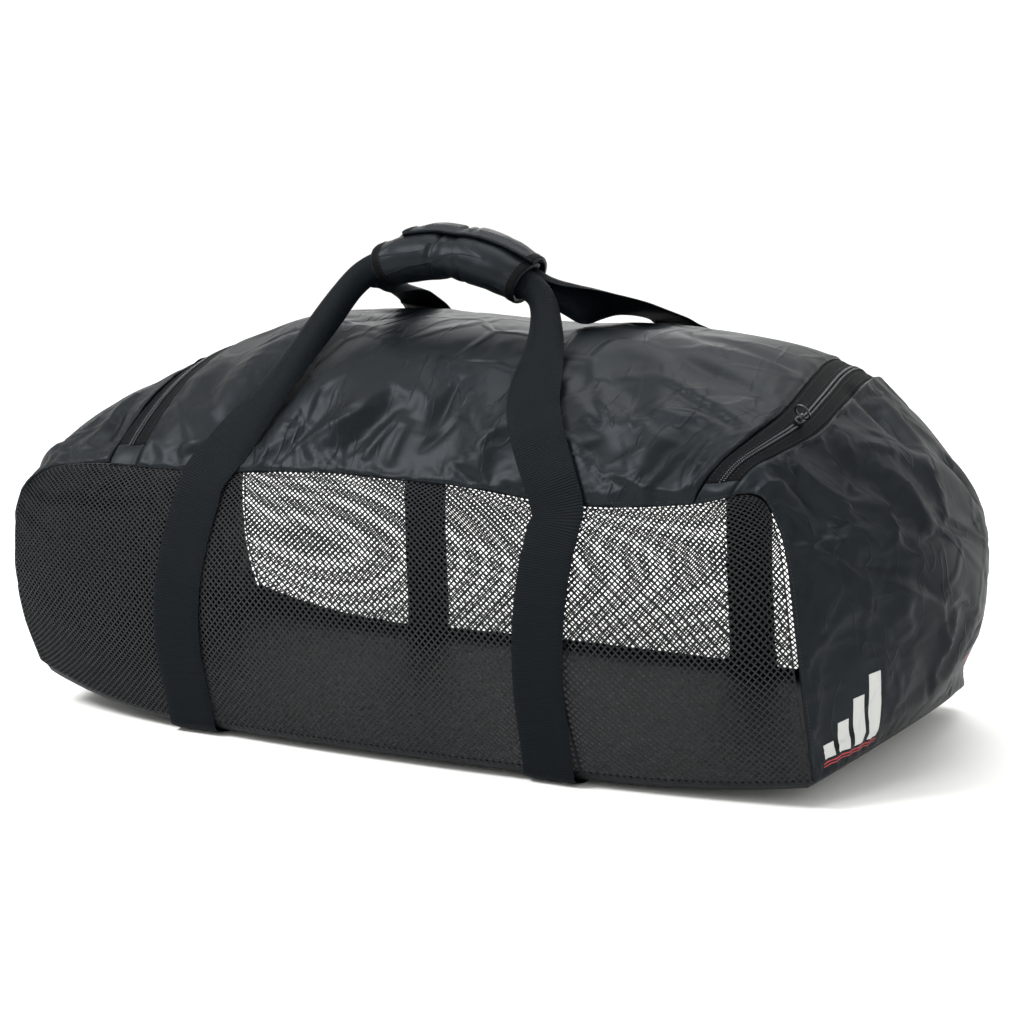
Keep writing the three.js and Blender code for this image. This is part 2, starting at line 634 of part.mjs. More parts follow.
place("zip_tab_right", sheet(tabPoint(1), steps(3), steps(2), nylon, bagCore), "black_nylon");
place("zip_slider", sliderBody(), "black_plastic");
place("zip_pull", pullRing(), "black_plastic");
place("strap_front", ribbon(loop(-1)), "webbing");
place("strap_back", ribbon(loop(1)), "webbing");
place("handle_wrap", sheet(wrapPoint, steps(9), steps(20), wrap.wall, wrapCore), "black_nylon");

// Origin under the middle of the whole bag
const middle = new THREE.Box3().setFromObject(group).getCenter(new THREE.Vector3());
group.children.forEach((mesh) => mesh.geometry.translate(-middle.x, -middle.y, 0));

export default group;
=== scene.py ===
# Net-sided holdall with nylon lid and ends, a U-shaped coil zip and two webbing loops
import math

import bmesh
import bpy
import numpy as np
from mathutils import Matrix, Vector


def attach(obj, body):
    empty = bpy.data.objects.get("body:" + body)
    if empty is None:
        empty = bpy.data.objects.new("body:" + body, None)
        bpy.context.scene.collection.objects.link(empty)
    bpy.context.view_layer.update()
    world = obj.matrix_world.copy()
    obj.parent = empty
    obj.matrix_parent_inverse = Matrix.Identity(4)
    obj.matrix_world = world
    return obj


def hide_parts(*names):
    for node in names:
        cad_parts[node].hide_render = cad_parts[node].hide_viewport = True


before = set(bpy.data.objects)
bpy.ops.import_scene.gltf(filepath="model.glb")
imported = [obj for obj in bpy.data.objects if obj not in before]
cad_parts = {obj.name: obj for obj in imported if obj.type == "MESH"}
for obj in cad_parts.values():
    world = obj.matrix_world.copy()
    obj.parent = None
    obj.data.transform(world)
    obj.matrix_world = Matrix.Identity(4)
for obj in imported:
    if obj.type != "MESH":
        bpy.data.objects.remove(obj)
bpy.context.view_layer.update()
scene = bpy.context.scene
mm = 0.001
print("frame loaded")

# Camera at the photograph's angle
view = dict(turn=27.6, lift=10.4, away=2.8, target=(-0.0149, 0.0005, 0.2), lens=101.95, shift=0.0059)
turn, lift = math.radians(view["turn"]), math.radians(view["lift"])
back = Vector((math.sin(turn) * math.cos(lift), -math.cos(turn) * math.cos(lift), math.sin(lift)))
bpy.ops.object.camera_add(
    location=Vector(view["target"]) + back * view["away"],
    rotation=(-back).to_track_quat("-Z", "Y").to_euler(),
)
scene.camera = bpy.context.object
lens = scene.camera.data
lens.lens, lens.shift_x, lens.shift_y = view["lens"], view["shift"], -view["shift"]
print("camera set")


def tableOf(columns, *rows):
    return dict(zip(columns.split(), np.array(rows, float).T))


def smooth(low, high, x):
    t = np.clip((x - low) / (high - low), 0, 1)
    return t * t * (3 - 2 * t)


def mix(a, b, share):
    return a + (b - a) * share


def unit(vectors):
    return vectors / np.maximum(np.linalg.norm(vectors, axis=-1, keepdims=True), 1e-12)


def paired(along, q):
    return np.broadcast_arrays(np.asarray(along, float), np.asarray(q, float))


# Rounded form of lid, shoulders and ends, in millimetres: a row for each hoop, left end to right.
# along is the place on the middle line, turn is 1 for an arch and 2 for a shallow bow
form = dict(arch=533, crestShift=15, end=700, leftCorner=-425, rightCorner=352, toMiddle=(-14.931, 0.502, 0))
hoops = tableOf(
    "along seamX seamZ midX midZ half turn",
    (-700, -410, 43, -422, 20, 199, 2.0),
    (-620, -427, 92, -440, 98, 203, 1.8),
    (-550, -432, 148, -450, 184, 206, 1.6),
    (-470, -425, 203, -444, 258, 206, 1.5),
    (-405, -396, 233, -412, 294, 206, 1.6),
    (-345, -345, 244, -348, 318, 206, 1.7),
    (-290, -290, 246, -290, 344, 206, 1.7),
    (-200, -200, 248, -200, 375, 208, 1.6),
    (-75, -75, 257, -75, 385, 210, 1.4),
    (50, 50, 255, 50, 381, 210, 1.25),
    (180, 180, 246, 180, 381, 208, 1.15),
    (290, 290, 257, 290, 364, 205, 1.1),
    (345, 343, 270, 348, 332, 203, 1.1),
    (405, 362, 246, 406, 288, 202, 1.2),
    (470, 372, 203, 450, 244, 203, 1.4),
    (550, 381, 133, 474, 168, 203, 1.6),
    (620, 389, 78, 470, 112, 201, 1.8),
    (700, 399, 24, 436, 50, 199, 2.0),
)
foldColumns = "along q toAlong toQ width rise"
folds = tableOf(  # the broad folds and dents
    foldColumns,
    (-196, 24, -132, 190, 32, -17), (-104, 30, -20, 110, 15, 5), (-66, 20, -26, 90, 14, -6),
    (70, 24, 100, 100, 16, 5), (180, 150, 216, 104, 20, -9), (276, 106, 256, 30, 15, -7),
    (240, 96, 226, 36, 17, 5), (284, 150, 220, 190, 15, -5), (-250, 60, -236, 180, 18, -6),
    (-170, 420, -60, 340, 24, -8), (60, 440, 140, 330, 22, -7), (230, 410, 190, 330, 18, 5),
    (352, 72, 446, 96, 15, -7), (378, 160, 466, 176, 15, -7), (386, 205, 486, 200, 15, 5),
    (478, 92, 550, 198, 18, -8), (510, 140, 570, 128, 15, 5), (554, 216, 620, 186, 17, 6),
    (588, 290, 650, 244, 18, -7), (346, 272, 414, 264, 17, -13), (420, 333, 490, 340, 17, -11),
    (-340, 50, -390, 96, 20, -8), (-390, 44, -450, 66, 17, 6), (-420, 160, -520, 260, 24, -9),
    (-400, 350, -560, 310, 24, -8),
)
creases = tableOf(  # the narrow ones: right end, lid from left to right, left end
    foldColumns,
    (355, 160, 420, 140, 5, 4), (355, 190, 405, 170, 6, 5), (405, 170, 480, 150, 8, 6),
    (420, 175, 455, 160, 5, 3), (385, 195, 405, 225, 4, 2), (420, 255, 480, 240, 7, 5),
    (480, 240, 530, 320, 7, 5), (480, 150, 495, 165, 5, -4), (495, 165, 490, 210, 5, -3),
    (460, 50, 505, 95, 6, 5), (505, 95, 545, 90, 6, 5), (510, 120, 550, 180, 7, 5),
    (490, 95, 510, 145, 10, -5), (525, 95, 575, 115, 5, 3), (540, 135, 575, 145, 5, 2),
    (555, 185, 605, 195, 6, 3), (565, 215, 630, 185, 7, 4), (485, 35, 520, 10, 6, 3),
    (505, 70, 540, 35, 9, -4), (375, 20, 425, 60, 5, 3), (405, 55, 445, 55, 5, 3),
    (355, 100, 395, 90, 5, -3), (370, 310, 415, 345, 9, 4), (350, 15, 380, 85, 6, 4),
    (545, 20, 580, 0, 8, 3), (-120, 20, -40, 80, 8, 4), (-130, 10, -100, 70, 7, -4),
    (-40, 20, -20, 75, 7, 4), (15, 35, 40, 80, 5, -4), (20, 60, 25, 125, 10, -5),
    (75, 45, 100, 90, 8, 3), (-15, 15, -10, 65, 7, 3), (155, 125, 185, 95, 8, -4),
    (215, 115, 240, 90, 7, -4), (195, 50, 230, 80, 20, -6), (275, 105, 240, 10, 7, 5),
    (285, 95, 280, 5, 7, 4), (215, 155, 305, 110, 6, -4), (235, 155, 310, 120, 6, 3),
    (200, 200, 310, 165, 7, -4), (220, 220, 305, 220, 7, 3), (270, 160, 325, 165, 6, -3),
    (230, 250, 315, 230, 7, -3), (205, 40, 245, 20, 8, 3), (-360, 35, -350, 145, 9, 5),
    (-405, 50, -355, 5, 7, -5), (-340, 25, -350, 125, 9, -5), (-400, 70, -355, 80, 8, 3),
    (-240, 20, -200, 45, 7, 4), (-280, 95, -225, 20, 10, 3), (-260, 120, -220, 55, 9, -3),
)
zipLine = dict(leg=303, corner=60, half=15, coilRise=1.4, tabEnd=28, sliderQ=154, gap=0.4)
zipBow = tableOf(
    "q out", (0, 0), (50, 14), (98, 31), (154, 40), (219, 35), (296, 22), (400, 5), (458, 0), (533, 0)
)
bowReach = dict(begins=190, full=285, fades=360, ends=560)
nearby = dict(along=17, q=6)  # how far off a slope is read
cornerAlong = zipLine["leg"] - zipLine["corner"]
cornerQ = form["arch"] - zipLine["half"] - zipLine["corner"]


def through(table, key, column, at):
    x, y = table[key], table[column]
    slope = np.empty_like(y)
    slope[1:-1] = (y[2:] - y[:-2]) / (x[2:] - x[:-2])
    slope[[0, -1]] = (np.diff(y) / np.diff(x))[[0, -1]]
    i = np.clip(np.searchsorted(x, at) - 1, 0, len(x) - 2)
    span = x[i + 1] - x[i]
    t = np.clip((at - x[i]) / span, 0, 1)
    start = (2 * t**3 - 3 * t**2 + 1) * y[i] + (t**3 - 2 * t**2 + t) * span * slope[i]
    return start + (3 * t**2 - 2 * t**3) * y[i + 1] + (t**3 - t**2) * span * slope[i + 1]


def hoopPoint(along, q):
    along, q = paired(along, q)
    at = {column: through(hoops, "along", column, along) for column in hoops if column != "along"}
    b = np.clip(q / form["arch"], 0, 1)
    bend = np.clip(at["turn"], 1, 2)
    across = -(2 - bend) * np.cos(np.pi * b) + (bend - 1) * (2 * b - 1)
    bow = np.sqrt(np.maximum(0, 1 - across**2))
    rise = bow**bend
    x = mix(at["seamX"], at["midX"], rise)
    y = at["half"] * across + form["crestShift"] * (2 - bend) * bow**2
    return np.stack([x, y, mix(at["seamZ"], at["midZ"], rise)], -1)


def foldSum(table, along, q, sharp=2.0):
    total = np.zeros(np.broadcast(along, q).shape)
    for a, b, toA, toB, width, rise in zip(*table.values()):
        run = math.hypot(toA - a, toB - b)
        part = ((along - a) * (toA - a) + (q - b) * (toB - b)) / run**2
        off = ((along - a) * (toB - b) - (q - b) * (toA - a)) / run
        past = np.maximum(0, np.maximum(-part, part - 1)) * run
        fade = np.sin(np.pi * np.clip(0.12 + 0.76 * part, 0, 1))
        total += rise * fade * np.exp(-(((off**2 + 2 * past**2) / width**2) ** (sharp / 2)))
    return total


def bowed(along, q):
    begins, full, fades, ends = bowReach.values()
    near = smooth(begins, full, along) * (1 - smooth(fades, ends, along))
    return along + through(zipBow, "q", "out", q) * near


def outward(along, q):
    place, end = bowed(along, q), form["end"]
    ahead, behind = np.minimum(place + nearby["along"], end), np.maximum(place - nearby["along"], -end)
    over, under = np.minimum(q + nearby["q"], form["arch"]), np.maximum(q - nearby["q"], 0)
    byAlong = hoopPoint(ahead, q) - hoopPoint(behind, q)
    return unit(np.cross(byAlong, hoopPoint(place, over) - hoopPoint(place, under)))


def clothPoint(along, q, high=0.0):
    along, q = paired(along, q)
    place = bowed(along, q)
    rise = foldSum(folds, place, q) + high
    return hoopPoint(place, q) + outward(along, q) * rise[..., None]


def zipOff(along, q):  # how far a place lies outside the zip's middle line
    a, c = np.abs(along), zipLine["corner"]
    side = np.hypot(np.maximum(a - cornerAlong, 0), np.maximum(q - cornerQ, 0)) - c
    return np.where(q <= cornerQ, a - zipLine["leg"], np.where(a <= cornerAlong, q - cornerQ - c, side))


strapRuns = tableOf(  # where webbing lies on the nylon, at the seam and where it leaves
    "fromX fromQ toX toQ",
    (163, 0, 115, 96), (-206, 0, -193, 18), (-206, 533, -118, 311), (163, 533, 140, 329),
)
covered = dict(full=27, none=42, past=1.25)


def strapCover(along, q):
    cover = np.zeros(np.shape(along))
    for x, b, toX, toB in zip(*strapRuns.values()):
        part = (q - b) / (toB - b)
        off = np.abs(along - mix(x, toX, np.clip(part, 0, 1)))
        across = 1 - smooth(covered["full"], covered["none"], off)
        cover = np.maximum(cover, across * (1 - smooth(1.0, covered["past"], part)))
    return cover


# Where creases die out
creaseFree = dict(seam=20, zip=(1, 24), foot=(650, 695), hemAt=4, hemWide=3, hemRise=0.5)


def nylonPoint(along, q):
    along, q = paired(along, q)
    seam = np.minimum(q, form["arch"] - q)
    edge = np.abs(zipOff(along, q)) - zipLine["half"]
    bare = 1 - strapCover(along, q)
    free = smooth(0, creaseFree["seam"], seam) * smooth(*creaseFree["zip"], edge) * bare
    foot = 1 - smooth(*creaseFree["foot"], np.abs(along))
    fine = foldSum(creases, bowed(along, q), q, 1.5) * free * foot
    hem = creaseFree["hemRise"] * np.exp(-(((edge - creaseFree["hemAt"]) / creaseFree["hemWide"]) ** 2)) * bare
    return clothPoint(along, q, fine + hem)


def toMetres(points):
    return (np.asarray(points) + form["toMiddle"]) * mm


# Mesh helpers
def valuesOf(items, name, wide=3):
    values = np.empty(len(items) * wide)
    items.foreach_get(name, values)
    return values.reshape(-1, wide)


def coordsOf(piece):
    return valuesOf(piece.data.vertices, "co")


def setCoords(piece, co):
    piece.data.vertices.foreach_set("co", np.ascontiguousarray(co, np.float32).ravel())
    piece.data.update()


def activate(piece):
    bpy.ops.object.select_all(action="DESELECT")
    piece.select_set(True)
    bpy.context.view_layer.objects.active = piece


def applied(piece, kind, **settings):
    activate(piece)
    modifier = piece.modifiers.new(kind.title(), kind)
    for name, value in settings.items():
        setattr(modifier, name, value)
    bpy.ops.object.modifier_apply(modifier=modifier.name)


def thicken(piece, thick):  # inwards, from the face that shows
    applied(piece, "SOLIDIFY", thickness=thick * mm, offset=-1)


def faceOut(piece, core):
    piece.data.update()
    middles, normals = (valuesOf(piece.data.polygons, name) for name in ("center", "normal"))
    if ((middles - core) * normals).sum() < 0:
        piece.data.flip_normals()


def normalsOut(piece):
    activate(piece)
    bpy.ops.object.mode_set(mode="EDIT")
    bpy.ops.mesh.select_all(action="SELECT")
    bpy.ops.mesh.normals_make_consistent(inside=False)
    bpy.ops.object.mode_set(mode="OBJECT")


def changeUv(piece, change):
    layer = piece.data.uv_layers[0].data
    layer.foreach_set("uv", np.ascontiguousarray(change(valuesOf(layer, "uv", 2))).ravel())


def quarterTurn(uv):
    return uv[:, ::-1]


def clothGrid(name, point, cells, size, core=(0, 0, 0.18)):
    bpy.ops.mesh.primitive_grid_add(x_subdivisions=cells[0], y_subdivisions=cells[1], size=2)
    piece = bpy.context.object
    piece.name = piece.data.name = name
    co = coordsOf(piece)
    setCoords(piece, toMetres(point((co[:, 0] + 1) / 2, (co[:, 1] + 1) / 2)))
    changeUv(piece, lambda uv: uv * np.array(size) * mm)  # real sizes, so weaves keep their scale
    faceOut(piece, core)
    return piece


def meshPiece(name, points, faces):
    mesh = bpy.data.meshes.new(name)
    mesh.from_pydata([tuple(p) for p in points], [], [tuple(f) for f in faces])
    mesh.validate()
    piece = bpy.data.objects.new(name, mesh)
    scene.collection.objects.link(piece)
    return piece


def dress(piece, material, slot, *nodes, body="bag", angle=None):
    piece.data.materials.clear()
    piece.data.materials.append(material)
    activate(piece)
    if angle is None:
        bpy.ops.object.shade_smooth()
    else:
        bpy.ops.object.shade_smooth_by_angle(angle=math.radians(angle))
    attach(piece, body)
    if nodes:
        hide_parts(*nodes)
    piece.shadow_terminator_geometry_offset = 0.2  # no saw teeth where light grazes the facets


def lengthsOf(points):
    return np.concatenate([[0], np.cumsum(np.linalg.norm(np.diff(points, axis=0), axis=1))])


def between(at, run, rows):
    return np.stack([np.interp(at, run, column) for column in rows.T], 1)


def evenly(points, step):
    run = lengthsOf(points)
    at = np.linspace(0, run[-1], max(2, int(round(run[-1] / step)) + 1))
    return between(at, run, points), at


def tube(name, rings):  # rings of points joined lengthwise, closed at both ends
    n, m = rings.shape[:2]
    k, j = np.meshgrid(np.arange(n - 1), np.arange(m), indexing="ij")
    a, b = k * m + j, k * m + (j + 1) % m
    faces = np.stack([a, b, b + m, a + m], -1).reshape(-1, 4).tolist()
    faces += [list(range(m))[::-1], list(range((n - 1) * m, n * m))]
    piece = meshPiece(name, rings.reshape(-1, 3), faces)
    normalsOut(piece)
    return piece


def sweep(name, centres, outs, section):
    along = unit(np.gradient(centres, axis=0))
    outs = unit(outs - (outs * along).sum(1, keepdims=True) * along)
    across = np.cross(along, outs)
    wide, high = section[None, :, :1], section[None, :, 1:]
    return tube(name, centres[:, None] + across[:, None] * wide + outs[:, None] * high)


def copiesOf(template, middles, axes, outs, size):
    points, faces = template
    axes = unit(axes)
    outs = unit(outs - (outs * axes).sum(1, keepdims=True) * axes)
    turned = np.stack([axes, np.cross(outs, axes), outs], 1)
    placed = middles[:, None] + np.einsum("pk,nkc->npc", points * np.array(size), turned)
    offset = (np.arange(len(middles)) * len(points))[:, None, None]
    return placed.reshape(-1, 3), (faces[None] + offset).reshape(-1, faces.shape[1])


def beadPiece(name, bead, rows):
    made = [copiesOf(bead, *row) for row in rows]
    starts = np.cumsum([0] + [len(points) for points, _ in made[:-1]])
    faces = np.concatenate([faces + start for (_, faces), start in zip(made, starts)])
    return meshPiece(name, np.concatenate([points for points, _ in made]), faces)


def grainTemplate(sides, rings):  # a small bead, lengthwise along x
    lengthwise = (0, math.pi / 2, 0)
    bpy.ops.mesh.primitive_uv_sphere_add(segments=sides, ring_count=rings, radius=0.5, rotation=lengthwise)
    bead = bpy.context.object
    bpy.ops.object.transform_apply(location=False, rotation=True, scale=False)
    applied(bead, "TRIANGULATE")
    found = coordsOf(bead), np.array([p.vertices[:] for p in bead.data.polygons])
    bpy.data.objects.remove(bead)
    return found


stitchBead = grainTemplate(4, 3)
toothBead = grainTemplate(6, 4)
stitchRuns = {}


def stitchAlong(group, points, outs, pitch=3.6, long=2.5, thick=0.55, sink=0.1):
    middles, at = evenly(points, pitch * mm)
    normals = between(at, lengthsOf(points), outs)
    axes = np.gradient(middles, axis=0)
    middles = middles + unit(normals) * (thick / 2 - sink) * mm
    size = np.array((long, thick, thick)) * mm
    stitchRuns.setdefault(group, []).append((middles, axes, normals, size))


# Materials
def linear(code):
    channels = [int(code[k : k + 2], 16) / 255 for k in (1, 3, 5)]
    return [c / 12.92 if c <= 0.04045 else ((c + 0.055) / 1.055) ** 2.4 for c in channels] + [1]


def add(tree, kind, inputs=None, **settings):
    made = tree.nodes.new("ShaderNode" + kind)
    for name, value in settings.items():
        setattr(made, name, value)
    for name, value in (inputs or {}).items():
        if isinstance(value, bpy.types.NodeSocket):
            tree.links.new(value, made.inputs[name])
        else:
            made.inputs[name].default_value = value
    return made


def material(name, **sockets):
    made = bpy.data.materials.new(name)
    made.use_nodes = True
    shader = made.node_tree.nodes["Principled BSDF"]
    for socket, value in sockets.items():
        shader.inputs[socket.replace("_", " ")].default_value = value
    return made, made.node_tree, shader


def toneAndRelief(tree, shader, tone, dark, pale, relief, strength, depth):
    ramp = add(tree, "ValToRGB", {"Fac": tone})
    for stop, code in zip(ramp.color_ramp.elements, (dark, pale)):
        stop.color = linear(code)
    bump = add(tree, "Bump", {"Height": relief, "Strength": strength, "Distance": depth * mm})
    tree.links.new(ramp.outputs["Color"], shader.inputs["Base Color"])
    tree.links.new(bump.outputs["Normal"], shader.inputs["Normal"])


def bands(size):  # scale of a wave texture whose bands lie that many millimetres apart
    return 0.31416 / (size * mm)


# Marks on the right end, millimetres on the cloth: four bars that grow, on a double red line
markPeriod, secondHigher = 222, 45
markColumns = "u v halfU halfV"
whiteMarks = tableOf(markColumns, (24, 435, 6, 11), (41, 423, 6, 23), (58, 410, 6, 36), (75, 397, 6, 49))
redMarks = tableOf(markColumns, (50, 452, 34, 1.1), (50, 457, 34, 0.8))


def markMask(tree, u, v, marks):
    total = 0.0
    for centreU, centreV, halfU, halfV in zip(*marks.values()):
        inU = add(tree, "Math", {0: u, 1: centreU * mm, 2: halfU * mm}, operation="COMPARE")
        inV = add(tree, "Math", {0: v, 1: centreV * mm, 2: halfV * mm}, operation="COMPARE")
        both = add(tree, "Math", {0: inU.outputs[0], 1: inV.outputs[0]}, operation="MULTIPLY")
        total = add(tree, "Math", {0: both.outputs[0], 1: total}, operation="MAXIMUM").outputs[0]
    return total


def blackNylon(name, marked=False):
    # nylon taffeta: close weave with a soft cool sheen, creased all over, paler where it is rubbed
    sheen = linear("#ebf5ff")
    made, tree, shader = material(name, Roughness=0.47, Specular_IOR_Level=0.17, Specular_Tint=sheen)
    place = add(tree, "TexCoord").outputs
    cloud = add(tree, "TexNoise", {"Vector": place["Object"], "Scale": 9.0, "Detail": 3.0})
    tone = add(tree, "ValToRGB", {"Fac": cloud.outputs["Fac"]})
    for stop, position, code in zip(tone.color_ramp.elements, (0.35, 0.7), ("#05080b", "#0a0f13")):
        stop.position, stop.color = position, linear(code)
    colour = tone.outputs["Color"]
    if marked:
        split = add(tree, "SeparateXYZ", {"Vector": place["UV"]})
        u = add(tree, "Math", {0: split.outputs["X"], 1: markPeriod * mm, 2: 0.0}, operation="WRAP")
        second = add(tree, "Math", {0: split.outputs["X"], 1: markPeriod * mm}, operation="GREATER_THAN")
        raised = {0: second.outputs[0], 1: secondHigher * mm, 2: split.outputs["Y"]}
        v = add(tree, "Math", raised, operation="MULTIPLY_ADD")
        near = add(tree, "Math", {0: split.outputs["X"], 1: 2 * markPeriod * mm}, operation="LESS_THAN")
        for marks, ink in ((whiteMarks, "#b4b5b3"), (redMarks, "#a23d41")):
            mask = markMask(tree, u.outputs[0], v.outputs[0], marks)
            mask = add(tree, "Math", {0: mask, 1: near.outputs[0]}, operation="MULTIPLY")
            inked = {"Fac": mask.outputs[0], "Color1": colour, "Color2": linear(ink)}
            colour = add(tree, "MixRGB", inked).outputs[0]
    tree.links.new(colour, shader.inputs["Base Color"])
    grain = add(tree, "TexNoise", {"Vector": place["Object"], "Scale": 1100.0, "Detail": 1.0})
    bump = add(tree, "Bump", {"Height": grain.outputs["Fac"], "Strength": 0.12, "Distance": 0.15 * mm})
    # folds 60 mm apart along wandering lines, and long thin creases that run up the panel, in patches
    wander = add(tree, "TexNoise", {"Vector": place["Object"], "Scale": 14.0, "Detail": 2.0})
    bent = add(tree, "VectorMath", {0: wander.outputs["Color"], 1: [25 * mm] * 3}, operation="MULTIPLY")
    bent = add(tree, "VectorMath", {0: place["Object"], 1: bent.outputs[0]}, operation="ADD")
    apart = {"Vector": bent.outputs[0], "Scale": 1 / (60 * mm)}
    cells = add(tree, "TexVoronoi", apart, feature="DISTANCE_TO_EDGE")
    drawn = {0: place["UV"], 1: (1 / (34 * mm), 1 / (120 * mm), 1)}
    drawn = add(tree, "VectorMath", drawn, operation="MULTIPLY").outputs[0]
    strands = add(tree, "TexNoise", {"Vector": drawn, "Scale": 1.0, "Detail": 2.0, "Distortion": 0.5})
    middle = add(tree, "Math", {0: strands.outputs["Fac"], 1: 0.5}, operation="SUBTRACT")
    middle = add(tree, "Math", {0: middle.outputs[0]}, operation="ABSOLUTE")
    patch = add(tree, "MapRange", {"Value": cloud.outputs["Fac"], "From Min": 0.35, "From Max": 0.6})
    for far, width, deep in ((cells.outputs["Distance"], 0.13, 2.1), (middle.outputs[0], 0.03, 0.9)):
        ridge = {"Value": far, "From Max": width, "To Min": 1.0, "To Max": 0.0}
        line = add(tree, "MapRange", ridge, interpolation_type="SMOOTHSTEP")
        height = add(tree, "Math", {0: line.outputs[0], 1: patch.outputs[0]}, operation="MULTIPLY").outputs[0]
        raised = {"Height": height, "Strength": 0.6, "Distance": deep * mm, "Normal": bump.outputs["Normal"]}
        bump = add(tree, "Bump", raised)
    tree.links.new(bump.outputs["Normal"], shader.inputs["Normal"])
    return made


def netThread():
    # knitted polyester cord: matt, its tone varying a little at random
    made, tree, shader = material("polyester_net", Roughness=0.55, Specular_IOR_Level=0.2)
    place = add(tree, "TexCoord").outputs
    cloud = add(tree, "TexNoise", {"Vector": place["Object"], "Scale": 160.0, "Detail": 2.0})
    ply = add(tree, "TexNoise", {"Vector": place["Object"], "Scale": 900.0, "Detail": 1.0})
    toneAndRelief(tree, shader, cloud.outputs["Fac"], "#07090b", "#13171b", ply.outputs["Fac"], 0.4, 0.2)
    return made


def coatedBase():
    # coated nylon: heavier weave under a dull film
    made, tree, shader = material("coated_nylon", Roughness=0.55, Specular_IOR_Level=0.2)
    place = add(tree, "TexCoord").outputs
    cloud = add(tree, "TexNoise", {"Vector": place["Object"], "Scale": 14.0, "Detail": 4.0})
    yarn = {"Vector": place["UV"], "Scale": bands(1.6)}
    warp, weft = (add(tree, "TexWave", yarn, bands_direction=way).outputs["Fac"] for way in "XY")
    weave = add(tree, "Math", {0: warp, 1: weft}, operation="MULTIPLY")
    toneAndRelief(tree, shader, cloud.outputs["Fac"], "#080a0c", "#12161a", weave.outputs[0], 0.3, 0.3)
    return made


def ribbedWeave(name, dark, pale, rib, column, depth, roughness):
    # polypropylene or polyester tape: ribs across its width, crossed by lengthwise columns of yarn
    made, tree, shader = material(name, Roughness=roughness, Specular_IOR_Level=0.07)
    place = add(tree, "TexCoord").outputs
    split = add(tree, "SeparateXYZ", {"Vector": place["UV"]})
    runs = add(tree, "CombineXYZ", {"X": split.outputs["Y"], "Y": split.outputs["X"]}).outputs[0]
    ribs, columns = (
        add(tree, "TexWave", {"Vector": runs, "Scale": bands(size)}, bands_direction=way).outputs["Fac"]
        for size, way in ((rib, "X"), (column, "Y"))
    )
    woven = add(tree, "Math", {0: columns, 1: 0.15, 2: ribs}, operation="MULTIPLY_ADD").outputs[0]
    toneAndRelief(tree, shader, woven, dark, pale, woven, 0.6, depth)
    return made


def grained(name, dark, pale, roughness, grain, depth, coat=0.0):
    # moulded or drawn plastic and thread: nearly even colour, fine grain that breaks the gloss
    made, tree, shader = material(name, Roughness=roughness, IOR=1.48, Coat_Weight=coat)
    place = add(tree, "TexCoord").outputs
    specks = {"Vector": place["Object"], "Scale": 0.3 / (grain * mm), "Detail": 2.0}
    cloud = add(tree, "TexNoise", specks).outputs["Fac"]
    toneAndRelief(tree, shader, cloud, dark, pale, cloud, 0.25, depth)
    return made


nylon = blackNylon("nylon_taffeta")
markedNylon = blackNylon("nylon_taffeta_marked", marked=True)
netCord = netThread()
baseCloth = coatedBase()
webbing = ribbedWeave("polypropylene_webbing", "#020508", "#080e13", 2.3, 1.6, 0.4, 0.6)
zipTape = ribbedWeave("polyester_zip_tape", "#020304", "#05070a", 1.3, 1.3, 0.2, 0.65)
coilPlastic = grained("nylon_coil", "#24282a", "#3a3f43", 0.25, 0.8, 0.03)
thread = grained("polyester_thread", "#0d0e10", "#1e2123", 0.55, 0.5, 0.05)
mouldedPlastic = grained("moulded_acetal", "#050607", "#0c0e10", 0.3, 1.5, 0.02, coat=0.15)
print("materials made")


# Slack nylon buckles between its sewn edges; seams and the places under webbing stay held
settling = dict(reach=6.5, frames=24)
settling["cloth"] = dict(
    quality=4, mass=0.12, air_damping=1.0, tension_stiffness=30, compression_stiffness=30, shear_stiffness=12,
    bending_stiffness=0.15, vertex_group_mass="held", vertex_group_shrink="loose",
    shrink_min=-0.032, shrink_max=0.0,
)


def settle(piece, weights, slack):
    held, loose = (piece.vertex_groups.new(name=name) for name in ("held", "loose"))
    for k, (hold, share) in enumerate(zip(weights, slack)):
        held.add([k], float(hold), "REPLACE")
        loose.add([k], 1 - float(share), "REPLACE")
    modifier = piece.modifiers.new("Cloth", "CLOTH")
    for name, value in settling["cloth"].items():
        setattr(modifier.settings, name, value)
    modifier.settings.effector_weights.gravity = 0.0
    modifier.collision_settings.use_collision = False
    modifier.point_cache.frame_end = settling["frames"]
    before = coordsOf(piece)
    for number in range(1, settling["frames"] + 1):
        scene.frame_set(number)
    activate(piece)
    bpy.ops.object.modifier_apply(modifier=modifier.name)
    scene.frame_set(1)
    moved = coordsOf(piece) - before
    far = np.linalg.norm(moved, axis=1, keepdims=True)
    print(piece.name, "settled by up to", round(float(far.max()) / mm, 1), "mm")
    reach = settling["reach"] * mm
    setCoords(piece, before + moved * np.tanh(far / reach) * reach / np.maximum(far, 1e-9))
    piece.vertex_groups.clear()


# Lid inside the zip's U
lid = dict(cells=(150, 136), size=(575, 527), thick=0.9, turnFrom=0.84, slackTop=0.15)
slackFades = (200, 60)  # q where the slack of the seam's side has gone, and where it is whole


def lidPlace(u, v):
    inner = zipLine["corner"] - zipLine["half"] - 2 * zipLine["gap"]
    angle = np.maximum(0, v - lid["turnFrom"]) / (1 - lid["turnFrom"]) * np.pi / 2
    q = mix(1, cornerQ, np.minimum(1, v / lid["turnFrom"])) + inner * np.sin(angle)
    return (cornerAlong + inner * np.cos(angle)) * (2 * u - 1), q


